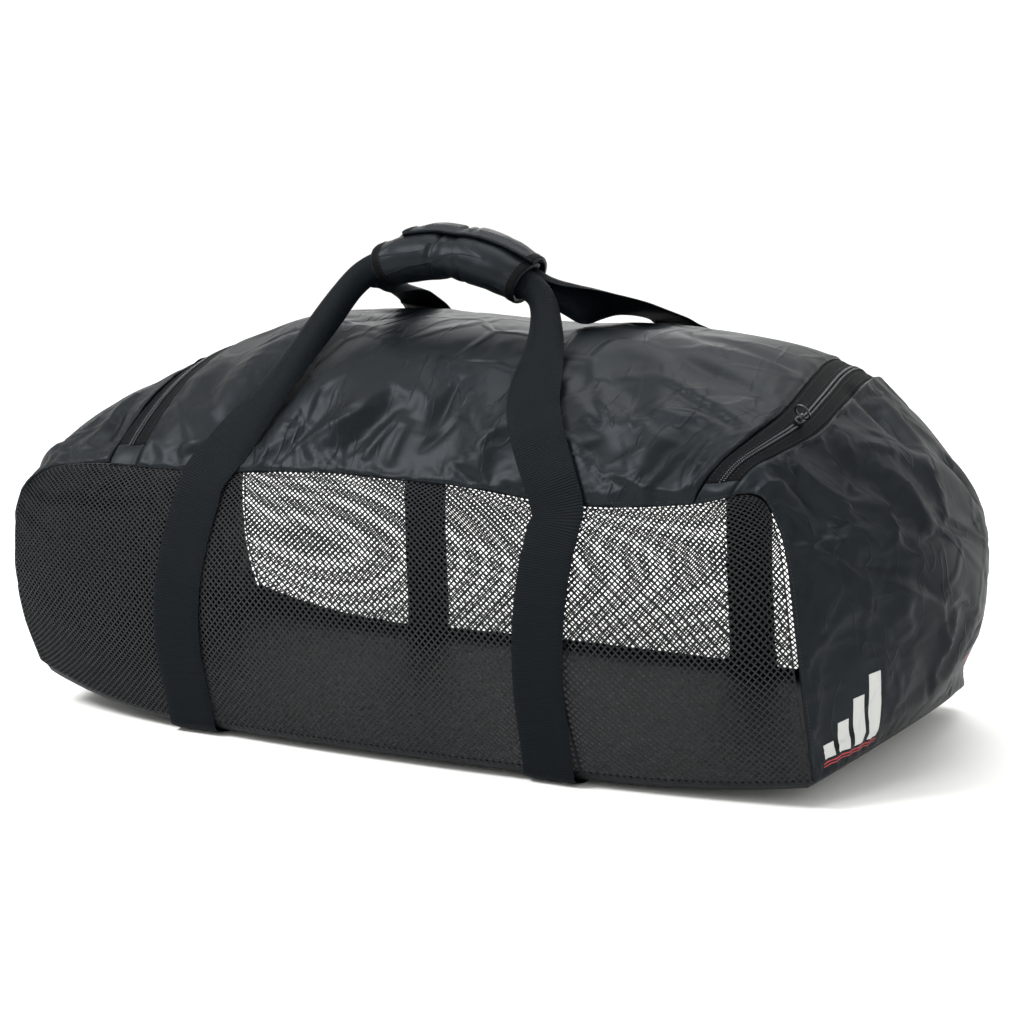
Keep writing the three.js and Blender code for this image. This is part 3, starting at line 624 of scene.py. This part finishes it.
def nylonPanel(name, place, values):
    panel = clothGrid(name, lambda u, v: nylonPoint(*place(u, v)), values["cells"], values["size"])
    n, m = values["cells"][0] + 1, values["cells"][1] + 1
    v, u = np.meshgrid(np.linspace(0, 1, m), np.linspace(0, 1, n), indexing="ij")
    along, q = place(u.ravel(), v.ravel())
    border = np.minimum.reduce([u, 1 - u, v, 1 - v]).ravel() < 0.001
    hold = np.where(border, 1, strapCover(along, q))
    share = mix(values["slackTop"], 1, smooth(*slackFades, q))
    settle(panel, hold, share)
    thicken(panel, values["thick"])
    return panel


lidPanel = nylonPanel("lid_cloth", lidPlace, lid)
dress(lidPanel, nylon, "black_nylon", "lid_panel")
print("lid done")

# Ends, from the zip over the shoulder to the base
end = dict(cells=(130, 118), size=(560, 470), thick=0.9, turnFrom=0.68, start=3.4, slackTop=0.8)


def endPlace(side):
    def place(u, v):
        outer = zipLine["corner"] + zipLine["half"] + 2 * zipLine["gap"]
        wholeTurn = math.asin((form["arch"] - 1.6 * end["start"] - cornerQ) / outer)
        angle = np.maximum(0, u - end["turnFrom"]) / (1 - end["turnFrom"]) * wholeTurn
        q = mix(end["start"], cornerQ, np.minimum(1, u / end["turnFrom"])) + outer * np.sin(angle)
        start = cornerAlong + outer * np.cos(angle)
        return side * mix(start, form["end"] - 1, v), q

    return place


def bareInside(uv):  # the inner face reads cloth that has no marks
    uv[4 * end["cells"][0] * end["cells"][1] :, 0] += 1
    return uv


for side, name in ((-1, "left"), (1, "right")):
    panel = nylonPanel("end_cloth_" + name, endPlace(side), end)
    changeUv(panel, bareInside)
    dress(panel, markedNylon if side > 0 else nylon, "black_nylon", "end_panel_" + name)
print("ends done")

# Base: floor over the straps, rim turned up, corners lifted
base = dict(
    under=2.9, rimTuck=2.2, rimTop=12, leftEnd=8, rightEnd=38, leftCorner=23, rightCorner=-26, liftFrom=0.55,
    bendX=0.93, bendY=0.87, rimIn=0.006, sag=34, half=199, cells=(100, 60), size=(850, 466), thick=1.6,
)


def cornerLift(s, t):
    share = np.maximum(0, (np.abs(s) - base["liftFrom"]) / (1 - base["liftFrom"])) ** 2
    left = base["leftEnd"] + t * t * base["leftCorner"]
    right = base["rightEnd"] + t * t * base["rightCorner"]
    return share * np.where(s < 0, left, right)


def basePlan(s, t, z):
    q = (t + 1) / 2 * form["arch"]
    leftX, rightX = (hoopPoint(side * form["end"], q)[..., 0] for side in (-1, 1))
    y = (base["half"] + base["sag"] * (1 - s * s)) * t
    return np.stack(np.broadcast_arrays(mix(leftX, rightX, (s + 1) / 2), y, z), -1)


def basePoint(u, v):
    s, t = 2 * u - 1, 2 * v - 1
    bends = [(np.abs(x) - start) / (1 - start) for x, start in ((s, base["bendX"]), (t, base["bendY"]))]
    bend = np.clip(np.maximum(*bends), 0, 1)
    rim = (base["rimTop"] - base["under"] + base["rimTuck"]) * (1 - np.sqrt(1 - bend**2))
    inside = 1 - base["rimIn"] * smooth(0.6, 1.0, bend)  # the rim's edge stands behind the walls
    return basePlan(s * inside, t * inside, base["under"] + cornerLift(s, t) + rim)


basePiece = clothGrid("base_cloth", basePoint, base["cells"], base["size"])
thicken(basePiece, base["thick"])
dress(basePiece, baseCloth, "base_cloth", "base_panel", angle=50)
print("base done")

# Net walls, pierced cell by cell, each in three lengths that meet behind the webbing
netWall = dict(
    belly=15, wide=6.5, high=5.8, hole=0.68, thick=0.9, span=850, tall=258, low=-0.008, top=1.012, knot=0.22,
    splits=(0, 0.262, 0.745, 1), tuck=1.6,
)
netFolds = tableOf(
    foldColumns,
    (0.0, 0.78, 0.1, 0.98, 0.03, -6), (0.3, 0.1, 0.34, 0.6, 0.06, 4), (0.84, 0.2, 0.9, 0.8, 0.04, -6),
)


def netPoint(face):
    seamQ = 0.0 if face < 0 else form["arch"]
    left, right = form["leftCorner"], form["rightCorner"]

    def foot(u):
        s = 2 * u - 1
        return basePlan(s, face, base["rimTop"] + cornerLift(s, face))

    def head(u):
        return clothPoint(mix(left, right, u), seamQ)

    def side(v, end, corner):
        return hoopPoint(mix(end, corner, v), seamQ)

    def point(u, v):
        p, r = u[..., None], v[..., None]
        wall = mix(foot(u), head(u), r)
        wall += mix(side(v, -form["end"], left), side(v, form["end"], right), p)
        wall -= mix(mix(foot(0.0), foot(1.0), p), mix(head(0.0), head(1.0), p), r)
        wide = 1 - np.abs(2 * u - 1) ** 4
        bulge = netWall["belly"] + (foldSum(netFolds, u, v) if face < 0 else 0)
        tuck = netWall["tuck"] * smooth(0.985, 1.0, np.maximum(v, 1 - v))  # edges lie behind the hems
        wall[..., 1] += face * (bulge * np.sin(np.pi * np.clip(v, 0, 1)) * wide - tuck)
        return wall

    return point


def netPiece(name, face, uFrom, uTo):
    columns = 2 * round((uTo - uFrom) * netWall["span"] / netWall["wide"])
    rows = 2 * round(netWall["tall"] / netWall["high"])
    i, j = np.meshgrid(np.arange(columns + 1), np.arange(rows + 1), indexing="ij")
    knots = (i + j) % 2 == 0
    index = np.full(i.shape, -1)
    index[knots] = np.arange(knots.sum())
    ci, cj = np.nonzero(~knots)
    inner = (ci > 0) & (ci < columns) & (cj > 0) & (cj < rows)
    hi, hj = ci[inner], cj[inner]
    around = np.array(((-1, 0), (0, -1), (1, 0), (0, 1)))
    ring = np.stack([index[hi + a, hj + b] for a, b in around], 1)
    holeI, holeJ = (h[:, None] + netWall["hole"] * way for h, way in zip((hi, hj), around.T))
    first = knots.sum() + 4 * np.arange(len(hi))
    faces = []
    for k in range(4):
        n = (k + 1) % 4
        faces += np.stack([ring[:, k], ring[:, n], first + n, first + k], 1).tolist()
    for a, b in zip(ci[~inner], cj[~inner]):  # half cells close the edge
        near = [(a + da, b + db) for da, db in around]
        faces.append([index[x, y] for x, y in near if 0 <= x <= columns and 0 <= y <= rows])
    u = mix(uFrom, uTo, np.concatenate([i[knots], holeI.ravel()]) / columns)
    v = mix(netWall["low"], netWall["top"], np.concatenate([j[knots], holeJ.ravel()]) / rows)
    piece = meshPiece(name, toMetres(netPoint(face)(u, v)), faces)
    faceOut(piece, (0, 0, 0.14))
    normals = valuesOf(piece.data.vertex_normals, "vector")
    raised = np.where(np.arange(len(u)) < knots.sum(), netWall["knot"], 0) * mm
    setCoords(piece, coordsOf(piece) + normals * raised[:, None])
    thicken(piece, netWall["thick"])
    return piece


for face, node in ((-1, "front_mesh"), (1, "back_mesh")):
    for part, (uFrom, uTo) in enumerate(zip(netWall["splits"], netWall["splits"][1:])):
        piece = netPiece(f"{node[:-5]}_net_{part + 1}", face, uFrom, uTo)
        dress(piece, netCord, "black_net", node)
        flat = (uTo - uFrom) * 0.80, 0.24
print("nets done")

# Zip: two tapes, a coil of teeth, end tabs, slider and ring
zipPart = dict(
    straight=0.3, turn=0.12, tapeCells=(420, 8), tapeThick=0.9, gap=0.3, hidden=4, tuck=1.6,
    tapeSize=(1760, 19), stitches=(5.2, 12.8), pitch=2.1, tooth=(2.5, 1.35, 1.7), toothOff=1.5, toothSink=0.6,
    toothSlant=0.28,
)
tapeEdge = zipLine["half"] + zipPart["hidden"]


def zipPlace(run, side):
    straight, turned = zipPart["straight"], zipPart["straight"] + zipPart["turn"]
    k = np.minimum(run, 1 - run)
    low = zipLine["tabEnd"] + zipLine["gap"]
    angle = np.clip((k - straight) / zipPart["turn"], 0, 1) * np.pi / 2
    radius = zipLine["corner"] + side
    along = np.where(k <= straight, zipLine["leg"] + side, cornerAlong + radius * np.cos(angle))
    along = np.where(k > turned, cornerAlong * (1 - (k - turned) / (0.5 - turned)), along)
    q = np.where(k <= straight, mix(low, cornerQ, k / straight), cornerQ + radius * np.sin(angle))
    return np.where(run <= 0.5, along, -along), np.minimum(q, form["arch"] - zipLine["gap"])


def underHem(side):
    return smooth(zipLine["half"] - 1, zipLine["half"] + 0.5, np.abs(side))


def zipStrip(fromSide, toSide):
    def point(u, v):
        side = mix(fromSide, toSide, v)
        return clothPoint(*zipPlace(u, side), -zipPart["tuck"] * underHem(side))

    return point


for name, sense, neighbour in (("inner", -1, "lid_panel"), ("outer", 1, "end_panel_left")):
    edges = sorted((sense * zipPart["gap"], sense * tapeEdge))
    tape = clothGrid("zip_cloth_" + name, zipStrip(*edges), zipPart["tapeCells"], zipPart["tapeSize"])
    changeUv(tape, quarterTurn)
    thicken(tape, zipPart["tapeThick"])
    dress(tape, zipTape, "zip_tape", "zip_tape_" + name)
    for off in sorted(sense * side for side in zipPart["stitches"]):
        along, q = zipPlace(np.linspace(0.004, 0.996, 900), off)
        stitchAlong("zip_stitches", toMetres(clothPoint(along, q)), outward(along, q))

teeth = []
for row, sense in enumerate((-1, 1)):
    runs, side = np.linspace(0.0, 1.0, 2400), sense * zipPart["toothOff"]
    line = toMetres(clothPoint(*zipPlace(runs, side), zipLine["coilRise"] - zipPart["toothSink"]))
    middles, at = evenly(line, zipPart["pitch"] * mm)
    outs = outward(*zipPlace(np.interp(at, lengthsOf(line), runs), side))
    ahead = unit(np.gradient(middles, axis=0))
    across = np.cross(ahead, outs) + ahead * sense * zipPart["toothSlant"]
    middles = middles + ahead * (zipPart["pitch"] * mm / 2 * row)
    teeth.append((middles, across, outs, np.array(zipPart["tooth"]) * mm))
dress(beadPiece("zip_teeth", toothBead, teeth), coilPlastic, "zip_coil", "zip_coil")
print("zip coil done")

zipTab = dict(
    cells=(30, 20), size=(38, 27), thick=1.2, foot=1.4, rise=0.3, puff=1.1, ripple=0.5, stitches=(0.14, 0.86)
)
for side, name, flat in ((-1, "left", (0.038, 0.027)), (1, "right", (0.033, 0.025))):
    def tabPoint(u, v, side=side):
        off = (2 * u - 1) * tapeEdge
        under = underHem(off)
        puff = zipTab["puff"] * np.sin(np.pi * u) * np.sin(np.pi * v) + zipTab["ripple"] * np.cos(9 * u)
        high = (zipTab["rise"] + puff) * (1 - under) - zipPart["tuck"] * under
        q = mix(zipTab["foot"], zipLine["tabEnd"], v)
        return clothPoint(side * (zipLine["leg"] + off), q, high)

    tab = clothGrid("zip_tab_cloth_" + name, tabPoint, zipTab["cells"], zipTab["size"])
    thicken(tab, zipTab["thick"])
    dress(tab, nylon, "black_nylon", "zip_tab_" + name)
    u = np.linspace(0.18, 0.82, 20)
    outs = outward(np.full(len(u), side * zipLine["leg"]), 20)
    for v in zipTab["stitches"]:
        stitchAlong("zip_stitches", toMetres(tabPoint(u, v)), outs)

slider = dict(
    wide=9.4, long=13, high=4.4, bevel=0.7, boxy=0.6, waist=0.14, above=0.35, eyeHigh=2.1, eyeRadius=2.65,
    eyeWire=0.85, bridge=1.9,
)
ring = dict(radius=7.6, wire=1.05, longer=1.12, lean=60, narrower=0.12)


def sliderFrame():
    leg, q, reach = zipLine["leg"], zipLine["sliderQ"], nearby["q"]
    at = toMetres(clothPoint(leg, q, zipLine["coilRise"] + slider["above"]))
    along = unit(clothPoint(leg, q + reach) - clothPoint(leg, q - reach))
    out = outward(leg, q)
    out = unit(out - out.dot(along) * along)
    axes = Matrix(np.stack([np.cross(along, out), along, out], 1).tolist()).to_4x4()
    return Matrix.Translation(at.tolist()) @ axes @ Matrix.Scale(mm, 4)


def placeOnZip(piece):
    piece.data.transform(piece.matrix_world)
    piece.matrix_world = Matrix.Identity(4)
    piece.data.transform(sliderFrame())


bpy.ops.mesh.primitive_circle_add(vertices=32, radius=1, fill_type="NGON")
body = bpy.context.object
body.name = body.data.name = "zip_slider_body"
co = coordsOf(body)
co[:, :2] = np.sign(co[:, :2]) * np.abs(co[:, :2]) ** slider["boxy"]
co[:, 0] *= slider["wide"] / 2 * (1 - slider["waist"] + slider["waist"] * co[:, 1])
co[:, 1] *= slider["long"] / 2
setCoords(body, co)
applied(body, "SOLIDIFY", thickness=slider["high"], offset=1)
applied(body, "BEVEL", width=slider["bevel"], segments=3, limit_method="ANGLE")
bpy.ops.mesh.primitive_torus_add(
    major_radius=slider["eyeRadius"], minor_radius=slider["eyeWire"], major_segments=36, minor_segments=12,
    rotation=(0, math.pi / 2, 0), location=(0, 0, slider["high"] + slider["eyeHigh"]),
)
bridge = bpy.context.object
bpy.ops.object.transform_apply(location=True, rotation=True, scale=True)
setCoords(bridge, coordsOf(bridge) * (slider["bridge"], 1, 1))
activate(body)
bridge.select_set(True)
bpy.ops.object.join()
placeOnZip(body)
dress(body, mouldedPlastic, "black_plastic", "zip_slider", angle=40)

bpy.ops.mesh.primitive_torus_add(
    major_radius=ring["radius"], minor_radius=ring["wire"], major_segments=64, minor_segments=16
)
pull = bpy.context.object
pull.name = pull.data.name = "zip_pull_ring"
co = coordsOf(pull)
co[:, 1] = (co[:, 1] + ring["radius"]) * ring["longer"]
co[:, 0] *= 1 - ring["narrower"] * smooth(0.3, 1.0, co[:, 1] / (2.2 * ring["radius"]))
setCoords(pull, co)
lean = Matrix.Rotation(math.pi - math.radians(ring["lean"]), 4, "X")
pull.data.transform(Matrix.Translation((0, 0, slider["high"] + slider["eyeHigh"])) @ lean)
placeOnZip(pull)
dress(pull, mouldedPlastic, "black_plastic", "zip_pull", body="pull")
print("zip slider and ring done")

# Webbing loops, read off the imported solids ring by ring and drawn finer
strap = dict(ringHalf=4, across=13, step=4.5, wide=50, thick=2.0, edge=0.3)


def ringOrder(verts, before):
    inside = set(verts)
    near = {v: [] for v in verts}
    for vert in verts:
        for edge in vert.link_edges:
            leaves = any(not inside.issuperset(f.verts) for f in edge.link_faces)
            if leaves and edge.other_vert(vert) in inside:
                near[vert].append(edge.other_vert(vert))
    order = [verts[0], near[verts[0]][0]]
    while len(order) < len(verts):
        order.append(next(n for n in near[order[-1]] if n != order[-2]))
    turns = [order[k:] + order[:k] for k in range(len(order))]
    turns += [t[::-1] for t in turns]
    return min(turns, key=lambda t: sum((a.co - b.co).length for a, b in zip(t, before)))


def stripRings(node):  # outer edge to edge, then inner edge to edge
    strip = bmesh.new()
    strip.from_mesh(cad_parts[node].data)
    bmesh.ops.remove_doubles(strip, verts=strip.verts, dist=1e-6)
    start = [v for v in strip.verts if abs(v.co.y) < 2 * mm and v.co.x < 0 and v.co.z < 3 * mm]
    start.sort(key=lambda v: (v.co.z > mm, v.co.x if v.co.z < mm else -v.co.x))
    rings, seen = [start], set(start)
    while len(seen) < len(strip.verts):
        ahead = {e.other_vert(v) for v in rings[-1] for e in v.link_edges} - seen
        rings.append(ringOrder(list(ahead), rings[-1]))
        seen.update(ahead)
    found = np.array([[v.co[:] for v in ringNow] for ringNow in rings])
    half = strap["ringHalf"]
    found[:, half:] = found[:, half:][:, ::-1].copy()
    strip.free()
    return found


def throughRings(rows, at, keys):
    columns = rows.reshape(len(keys), -1).T
    found = np.stack([through(dict(key=keys, value=column), "key", "value", at) for column in columns], 1)
    return found.reshape(len(at), -1, 3)


# Free runs of the front loop beside the grip: they open slowly from their curl, the left one with a turn
freeRuns = tableOf("grip way long slow twist", (742, -1, 243, 1.7, 24), (900, 1, 164, 1.45, 0))


def openSlowly(lines, at, facing):
    apex = lines[:, 1:3].mean(1)
    across = unit(lines[:, -1] - lines[:, 0])
    out = unit(facing - (facing * across).sum(1, keepdims=True) * across)
    flat = np.stack([((lines - apex[:, None]) * axis[:, None]).sum(-1) for axis in (across, out)])
    opened = lines.copy()
    for grip, way, long, slow, twist in zip(*freeRuns.values()):
        far = (at / mm - grip) * way
        rows = (far > 0) & (far < long)
        source = (grip + way * far[rows] / slow) * mm
        wide, deep = (between(source, at, part)[..., None] for part in flat)
        angle = np.radians(twist) * np.sin(np.pi * far[rows] / long)[:, None] ** 2
        sideways = across[rows] * np.cos(angle) + out[rows] * np.sin(angle)
        upright = out[rows] * np.cos(angle) - across[rows] * np.sin(angle)
        opened[rows] = apex[rows, None] + wide * sideways[:, None] + deep * upright[:, None]
    return opened


def webbingLoop(name, node, slowly=False):
    rings = stripRings(node)
    half = strap["ringHalf"]
    outer, inner = rings[:, :half], rings[:, half:]
    middle = (outer + inner) / 2
    keys = lengthsOf(middle.mean(1))
    at = np.linspace(0, keys[-1], int(keys[-1] / (strap["step"] * mm)))
    lines = throughRings(middle, at, keys)
    facing = throughRings(outer - inner, at, keys).mean(1)
    if slowly:
        lines = openSlowly(lines, at, facing)
    sides = np.linspace(0, half - 1, strap["across"])
    known = np.arange(half)
    cubic = np.stack([np.prod([(sides - m) / (k - m) for m in known if m != k], axis=0) for k in known])
    surface = np.einsum("rkc,ks->rsc", lines, cubic)
    outs = unit(np.cross(np.gradient(surface, axis=0), np.gradient(surface, axis=1)))
    if (outs.mean(1) * facing).sum() < 0:
        outs = -outs
    w = np.abs(2 * sides / (half - 1) - 1)
    thick = strap["thick"] / 2 * mm * mix(strap["edge"], 1, np.sqrt(1 - w**10))
    rise = outs * thick[None, :, None]
    piece = tube(name, np.concatenate([surface + rise, (surface - rise)[:, ::-1]], 1))
    ringU = np.concatenate([sides, sides[::-1]]) / (half - 1) * strap["wide"] * mm
    layer = piece.data.uv_layers.new(name="webbing")
    verts = np.array([loop.vertex_index for loop in piece.data.loops])
    uv = np.stack([ringU[verts % len(ringU)], at[verts // len(ringU)]], 1)
    layer.data.foreach_set("uv", uv.ravel())
    dress(piece, webbing, "webbing", node, angle=60)
    print(name, "length", round(float(keys[-1]), 3))


webbingLoop("webbing_front", "strap_front", slowly=True)
webbingLoop("webbing_back", "strap_back")

# Padded wrap round both loops, lapped along the top, its ends bound
wrap = dict(
    left=-100, right=52, y=-55, endZ=429, midZ=446, drop=10, holeHigh=15.2, holeDeep=21, wall=4.2, spiral=6.4,
    overlap=0.7, pinch=1.4, flapIn=0.19, flapFrom=(0.8, 0.92), flapRise=4, flapAt=2.34, puff=1.8,
    cells=(72, 128), size=(156, 190), bindWide=9, bindThick=0.8, bindBoxy=0.45,
)
wrapLong = wrap["right"] - wrap["left"]


def wrapPoint(u, v, high=0.0):
    lapped = 2 * np.pi + wrap["overlap"]
    angle = 0.5 * np.pi - wrap["overlap"] / 2 + lapped * v
    u = u + (1 - u) * wrap["flapIn"] * smooth(*wrap["flapFrom"], v)  # the flap starts further in
    narrow = wrap["pinch"] * np.exp(-(((u - 0.5) / 0.07) ** 2))
    lobe = np.exp(-(((angle - wrap["flapAt"] * np.pi) / 0.4) ** 2)) * np.sin(np.pi * np.clip(u, 0, 1))
    grown = wrap["wall"] + wrap["spiral"] * smooth(0.05, 0.95, v) - narrow + wrap["flapRise"] * lobe + high
    x, bow = wrap["left"] + wrapLong * u, wrap["midZ"] - wrap["endZ"]
    z = wrap["endZ"] + bow * (1 - (2 * u - 1) ** 2) + wrap["drop"] * (0.5 - u)
    tilt = np.arctan(-(8 * bow * (u - 0.5) + wrap["drop"]) / wrapLong)
    up = (wrap["holeHigh"] + grown) * np.sin(angle)
    deep = (wrap["holeDeep"] + grown + narrow * 0.6) * np.cos(angle)
    return np.stack(np.broadcast_arrays(x - up * np.sin(tilt), wrap["y"] + deep, z + up * np.cos(tilt)), -1)


wrapCreases = tableOf(
    "u width rise slant", (0.42, 0.014, -3.0, 0.03), (0.47, 0.02, 1.2, 0.02), (0.5, 0.01, -2.4, -0.03),
    (0.56, 0.014, -1.8, 0.05), (0.2, 0.04, -0.6, 0.1), (0.78, 0.04, -0.7, -0.12),
)


def wrapPuff(u, v):
    ends = np.minimum(u, 1 - u)
    rise = wrap["puff"] * smooth(0.03, 0.2, ends) * (1 - 0.8 * np.exp(-(((u - 0.48) / 0.05) ** 2)))
    for at, width, deep, slant in zip(*wrapCreases.values()):
        off = u - at - slant * np.sin(7 * v + 20 * at)
        rise = rise + deep * np.exp(-np.abs(off / width) ** 1.4) * (0.55 + 0.45 * np.sin(9 * v + 30 * at))
    return wrapPoint(u, v, rise * smooth(0.0, 0.05, v) * smooth(0.0, 0.05, 1 - v))


wrapCore = toMetres((-24, wrap["y"], 440))
padding = clothGrid("grip_wrap", wrapPuff, wrap["cells"], wrap["size"], core=wrapCore)
changeUv(padding, quarterTurn)
thicken(padding, wrap["wall"])
dress(padding, nylon, "black_nylon", "handle_wrap")
v, reach = np.linspace(0.0, 1.0, 150), wrap["bindWide"] / wrapLong
turnRound = np.linspace(0, 2 * np.pi, 20, endpoint=False)
section = np.stack([np.cos(turnRound), np.sin(turnRound)], 1)
size = np.array((wrap["bindWide"] / 2, wrap["wall"] / 2 + wrap["bindThick"])) * mm
section = np.sign(section) * np.abs(section) ** wrap["bindBoxy"] * size
for name, u, sense in (("left", 0.0, 1), ("right", 1.0, -1)):
    faceLine = toMetres(wrapPoint(u + sense * reach / 2, v, -wrap["wall"] / 2))
    outs = unit(toMetres(wrapPoint(u + sense * reach / 2, v, 4.0)) - faceLine)
    dress(sweep("grip_binding_" + name, faceLine, outs, section), zipTape, "webbing", angle=40)
    inset = wrapPoint(u + sense * reach * 0.86, v, wrap["bindThick"])
    stitchAlong("grip_stitches", toMetres(inset), outs)
middleRow = wrapPoint(0.5, np.linspace(0.02, 0.98, 150), 0.2)
flapRow = wrapPuff(np.linspace(0.08, 0.92, 80), 0.955)
for line in (toMetres(middleRow), toMetres(flapRow)):
    stitchAlong("grip_stitches", line, unit(line - wrapCore))
print("wrap done")

# Hem stitches beside the seams of the nylon
hem = dict(seam=5, endSeam=7, zip=4, lidHalf=282, endFrom=330, endTo=690)


def hemStitches(along, q):
    stitchAlong("panel_stitches", toMetres(nylonPoint(along, q)), outward(along, q))


hemStitches(np.linspace(-hem["lidHalf"], hem["lidHalf"], 400), hem["seam"])
for side in (-1, 1):
    for q in (hem["endSeam"], form["arch"] - hem["endSeam"]):
        hemStitches(side * np.linspace(hem["endFrom"], hem["endTo"], 300), q)
    along, q = zipPlace(np.linspace(0.02, 0.4, 400), zipLine["half"] + hem["zip"])
    hemStitches(along * side, q)
hemStitches(*zipPlace(np.linspace(0.02, 0.98, 900), -zipLine["half"] - hem["zip"]))

for group, rows in stitchRuns.items():
    dress(beadPiece(group, stitchBead, rows), thread, "zip_tape")
print("stitches done")

# Studio: a pale bowl, floor running up into the walls, with soft light from above, both sides and behind
studio = dict(paper="#f6f6f4", sky=1.0, floorRadius=4.0, wallRadius=6.0, wall=4.0)
lights = (  # name, place, aim, size and power
    ("key_light", (-1.4, -1.6, 2.2), (0, 0, 0.25), (1.2, 0.9), 90),
    ("fill_light", (2.4, -1.8, 1.3), (0.1, 0, 0.2), (1.4, 1.4), 12),
    ("top_light", (0.2, 0.5, 2.4), (0, 0, 0.3), (2.2, 1.4), 36),
    ("back_light", (-1.3, 2.6, 1.4), (-0.1, 0, 0.35), (1.2, 0.9), 12),
    ("side_light", (1.7, 2.4, 0.6), (0.45, 0, 0.2), (0.8, 0.8), 3),
)
floor, reach = studio["floorRadius"], studio["wallRadius"] - studio["floorRadius"]
bend = np.linspace(0, np.pi / 2, 16)
curve = [(0, 0, 0)] + [(floor + reach * math.sin(b), 0, reach * (1 - math.cos(b))) for b in bend]
curve += [(studio["wallRadius"], 0, studio["wall"])]
mesh = bpy.data.meshes.new("studio_bowl")
mesh.from_pydata(curve, [(k, k + 1) for k in range(len(curve) - 1)], [])
bowl = bpy.data.objects.new("studio_bowl", mesh)
scene.collection.objects.link(bowl)
applied(bowl, "SCREW", steps=96, render_steps=96, use_merge_vertices=True, use_normal_flip=False)
bpy.ops.object.shade_smooth()
paper, _, paperShader = material("studio_paper", Roughness=0.9)
paperShader.inputs["Base Color"].default_value = linear(studio["paper"])
bowl.data.materials.append(paper)

for name, place, aim, size, power in lights:
    bpy.ops.object.light_add(type="AREA", location=place)
    light = bpy.context.object
    light.name = name
    light.rotation_euler = (Vector(aim) - Vector(place)).to_track_quat("-Z", "Y").to_euler()
    light.data.shape = "RECTANGLE"
    light.data.size, light.data.size_y = size
    light.data.energy = power
    light.visible_camera = False
sky = bpy.data.worlds.new("studio_sky")
sky.use_nodes = True
background = sky.node_tree.nodes["Background"].inputs
background["Color"].default_value, background["Strength"].default_value = (1, 1, 1, 1), studio["sky"]
scene.world = sky
scene.view_settings.view_transform = "Standard"
print("studio done")

bpy.context.view_layer.update()
